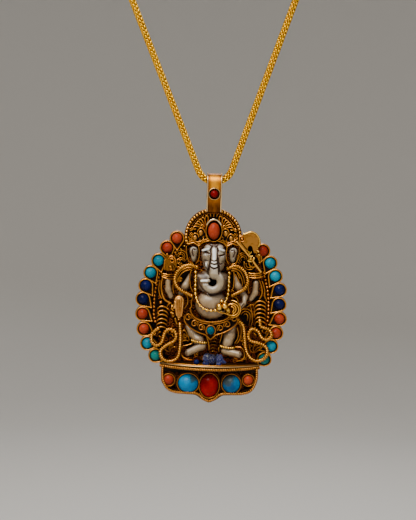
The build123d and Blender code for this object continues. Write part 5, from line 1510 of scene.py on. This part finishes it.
# Finishes of the solids that show: the first whose words are in the solid's name
SOLID_FINISHES = (
    ("coral", red_coral), ("base_egg", deep_coral), ("bail_stone", deep_coral),
    ("turquoise_left_10", green_turquoise), ("turquoise_right_10", green_turquoise),
    ("base_turquoise_right", patched_turquoise), ("base_turquoise", base_turquoise), ("turquoise", turquoise),
    ("skirt_stone", turquoise), ("lapis", lapis), ("mouse", lapis), ("crown_stone", red_coral),
    ("clasp", chain_gold), ("bail", bail_gilt_painted_shade), ("frame", blackened_plate), ("crown", blackened_plate),
    ("base", blackened_plate), ("ledge", blackened_plate), ("skirt", blackened_plate), ("axe", tan_plate),
    ("rear_emblem", emblem_gilt), ("sweet_bowl", bowl_gilt_painted_shade), ("", worn_gilt),
)
for name, solid in frame["nodes"].items():
    solid.data.materials.clear()
    solid.data.materials.append(next(finish for words, finish in SOLID_FINISHES if words in name))

# Floor, light and camera
FLOOR_R = 0.7
WALL_R = 1.5
WALL_H = 1.3
FLOOR_DROP = 0.16


def make_floor():
    """A round floor whose edge sweeps up into a wall, so no horizon shows behind the pendant."""
    sweep = np.radians(np.linspace(0, 90, 17))
    reach = np.concatenate(([0.0, FLOOR_R * 0.5, FLOOR_R], FLOOR_R + (WALL_R - FLOOR_R) * np.sin(sweep)[1:]))
    lift = np.concatenate(([0.0, 0.0, 0.0], WALL_H * (1 - np.cos(sweep))[1:]))
    angle = np.radians(np.arange(0, 360, 5))
    points = [(r * np.cos(a), r * np.sin(a), TIP_Z - FLOOR_DROP + z) for r, z in zip(reach[1:], lift[1:])
              for a in angle]
    count = len(angle)
    faces = [[row * count + k, (row + 1) * count + k, (row + 1) * count + (k + 1) % count,
              row * count + (k + 1) % count] for row in range(len(reach) - 2) for k in range(count)]
    faces.append(list(range(count)))
    mesh = bpy.data.meshes.new("floor")
    mesh.from_pydata(points, [], faces)
    mesh.polygons.foreach_set("use_smooth", [True] * len(mesh.polygons))
    made = bpy.data.objects.new("floor", mesh)
    bpy.context.scene.collection.objects.link(made)
    return made


floor_paint = Finish("pale_floor").shaded({"Base Color": colour("#dedcd8"), "Roughness": 0.8})
make_floor().data.materials.append(floor_paint)

world = bpy.data.worlds.new("studio")
world.use_nodes = True
world.node_tree.nodes["Background"].inputs["Color"].default_value = colour("#b4b6b8")
world.node_tree.nodes["Background"].inputs["Strength"].default_value = 0.14
bpy.context.scene.world = world

target = Vector(in_frame((-1.07, 33.8, 3.0))[0])


def soft_box(name, offset, size, watts, tint):
    """A square soft light aimed at the pendant."""
    light = bpy.data.lights.new(name, "AREA")
    light.shape = "SQUARE"
    light.size = size
    light.energy = watts
    light.color = colour(tint)[:3]
    lamp = bpy.data.objects.new(name, light)
    lamp.location = target + Vector(offset)
    lamp.rotation_euler = (-Vector(offset)).to_track_quat("-Z", "Y").to_euler()
    bpy.context.scene.collection.objects.link(lamp)


soft_box("key", (-0.18, -0.36, 0.52), 0.42, 7.4, "#fff8ee")
soft_box("fill", (0.3, -0.58, 0.0), 0.8, 1.6, "#f4f4f6")
soft_box("back", (0.1, 0.5, 0.4), 0.4, 2.0, "#ffffff")

DISTANCE = 0.300
ELEVATION = np.radians(5.0)
ROLL = np.radians(1.53)   # the photographed pendant's top leans to the right
FIELD = 0.1224            # height of the view at the pendant
SENSOR = 24.0
camera_data = bpy.data.cameras.new("camera")
camera_data.sensor_width = SENSOR
camera_data.lens = SENSOR * DISTANCE / FIELD
camera_data.clip_start = 0.01
camera_data.clip_end = 20.0
camera = bpy.data.objects.new("camera", camera_data)
ahead = Vector((0, np.cos(ELEVATION), -np.sin(ELEVATION)))
upright = Vector((0, np.sin(ELEVATION), np.cos(ELEVATION)))
right = Vector((1, 0, 0)) * np.cos(ROLL) + upright * np.sin(ROLL)
up = upright * np.cos(ROLL) - Vector((1, 0, 0)) * np.sin(ROLL)
turned = Matrix((right, up, -ahead)).transposed().to_4x4()
camera.matrix_world = Matrix.Translation(target - ahead * DISTANCE) @ turned
bpy.context.scene.collection.objects.link(camera)
bpy.context.scene.camera = camera
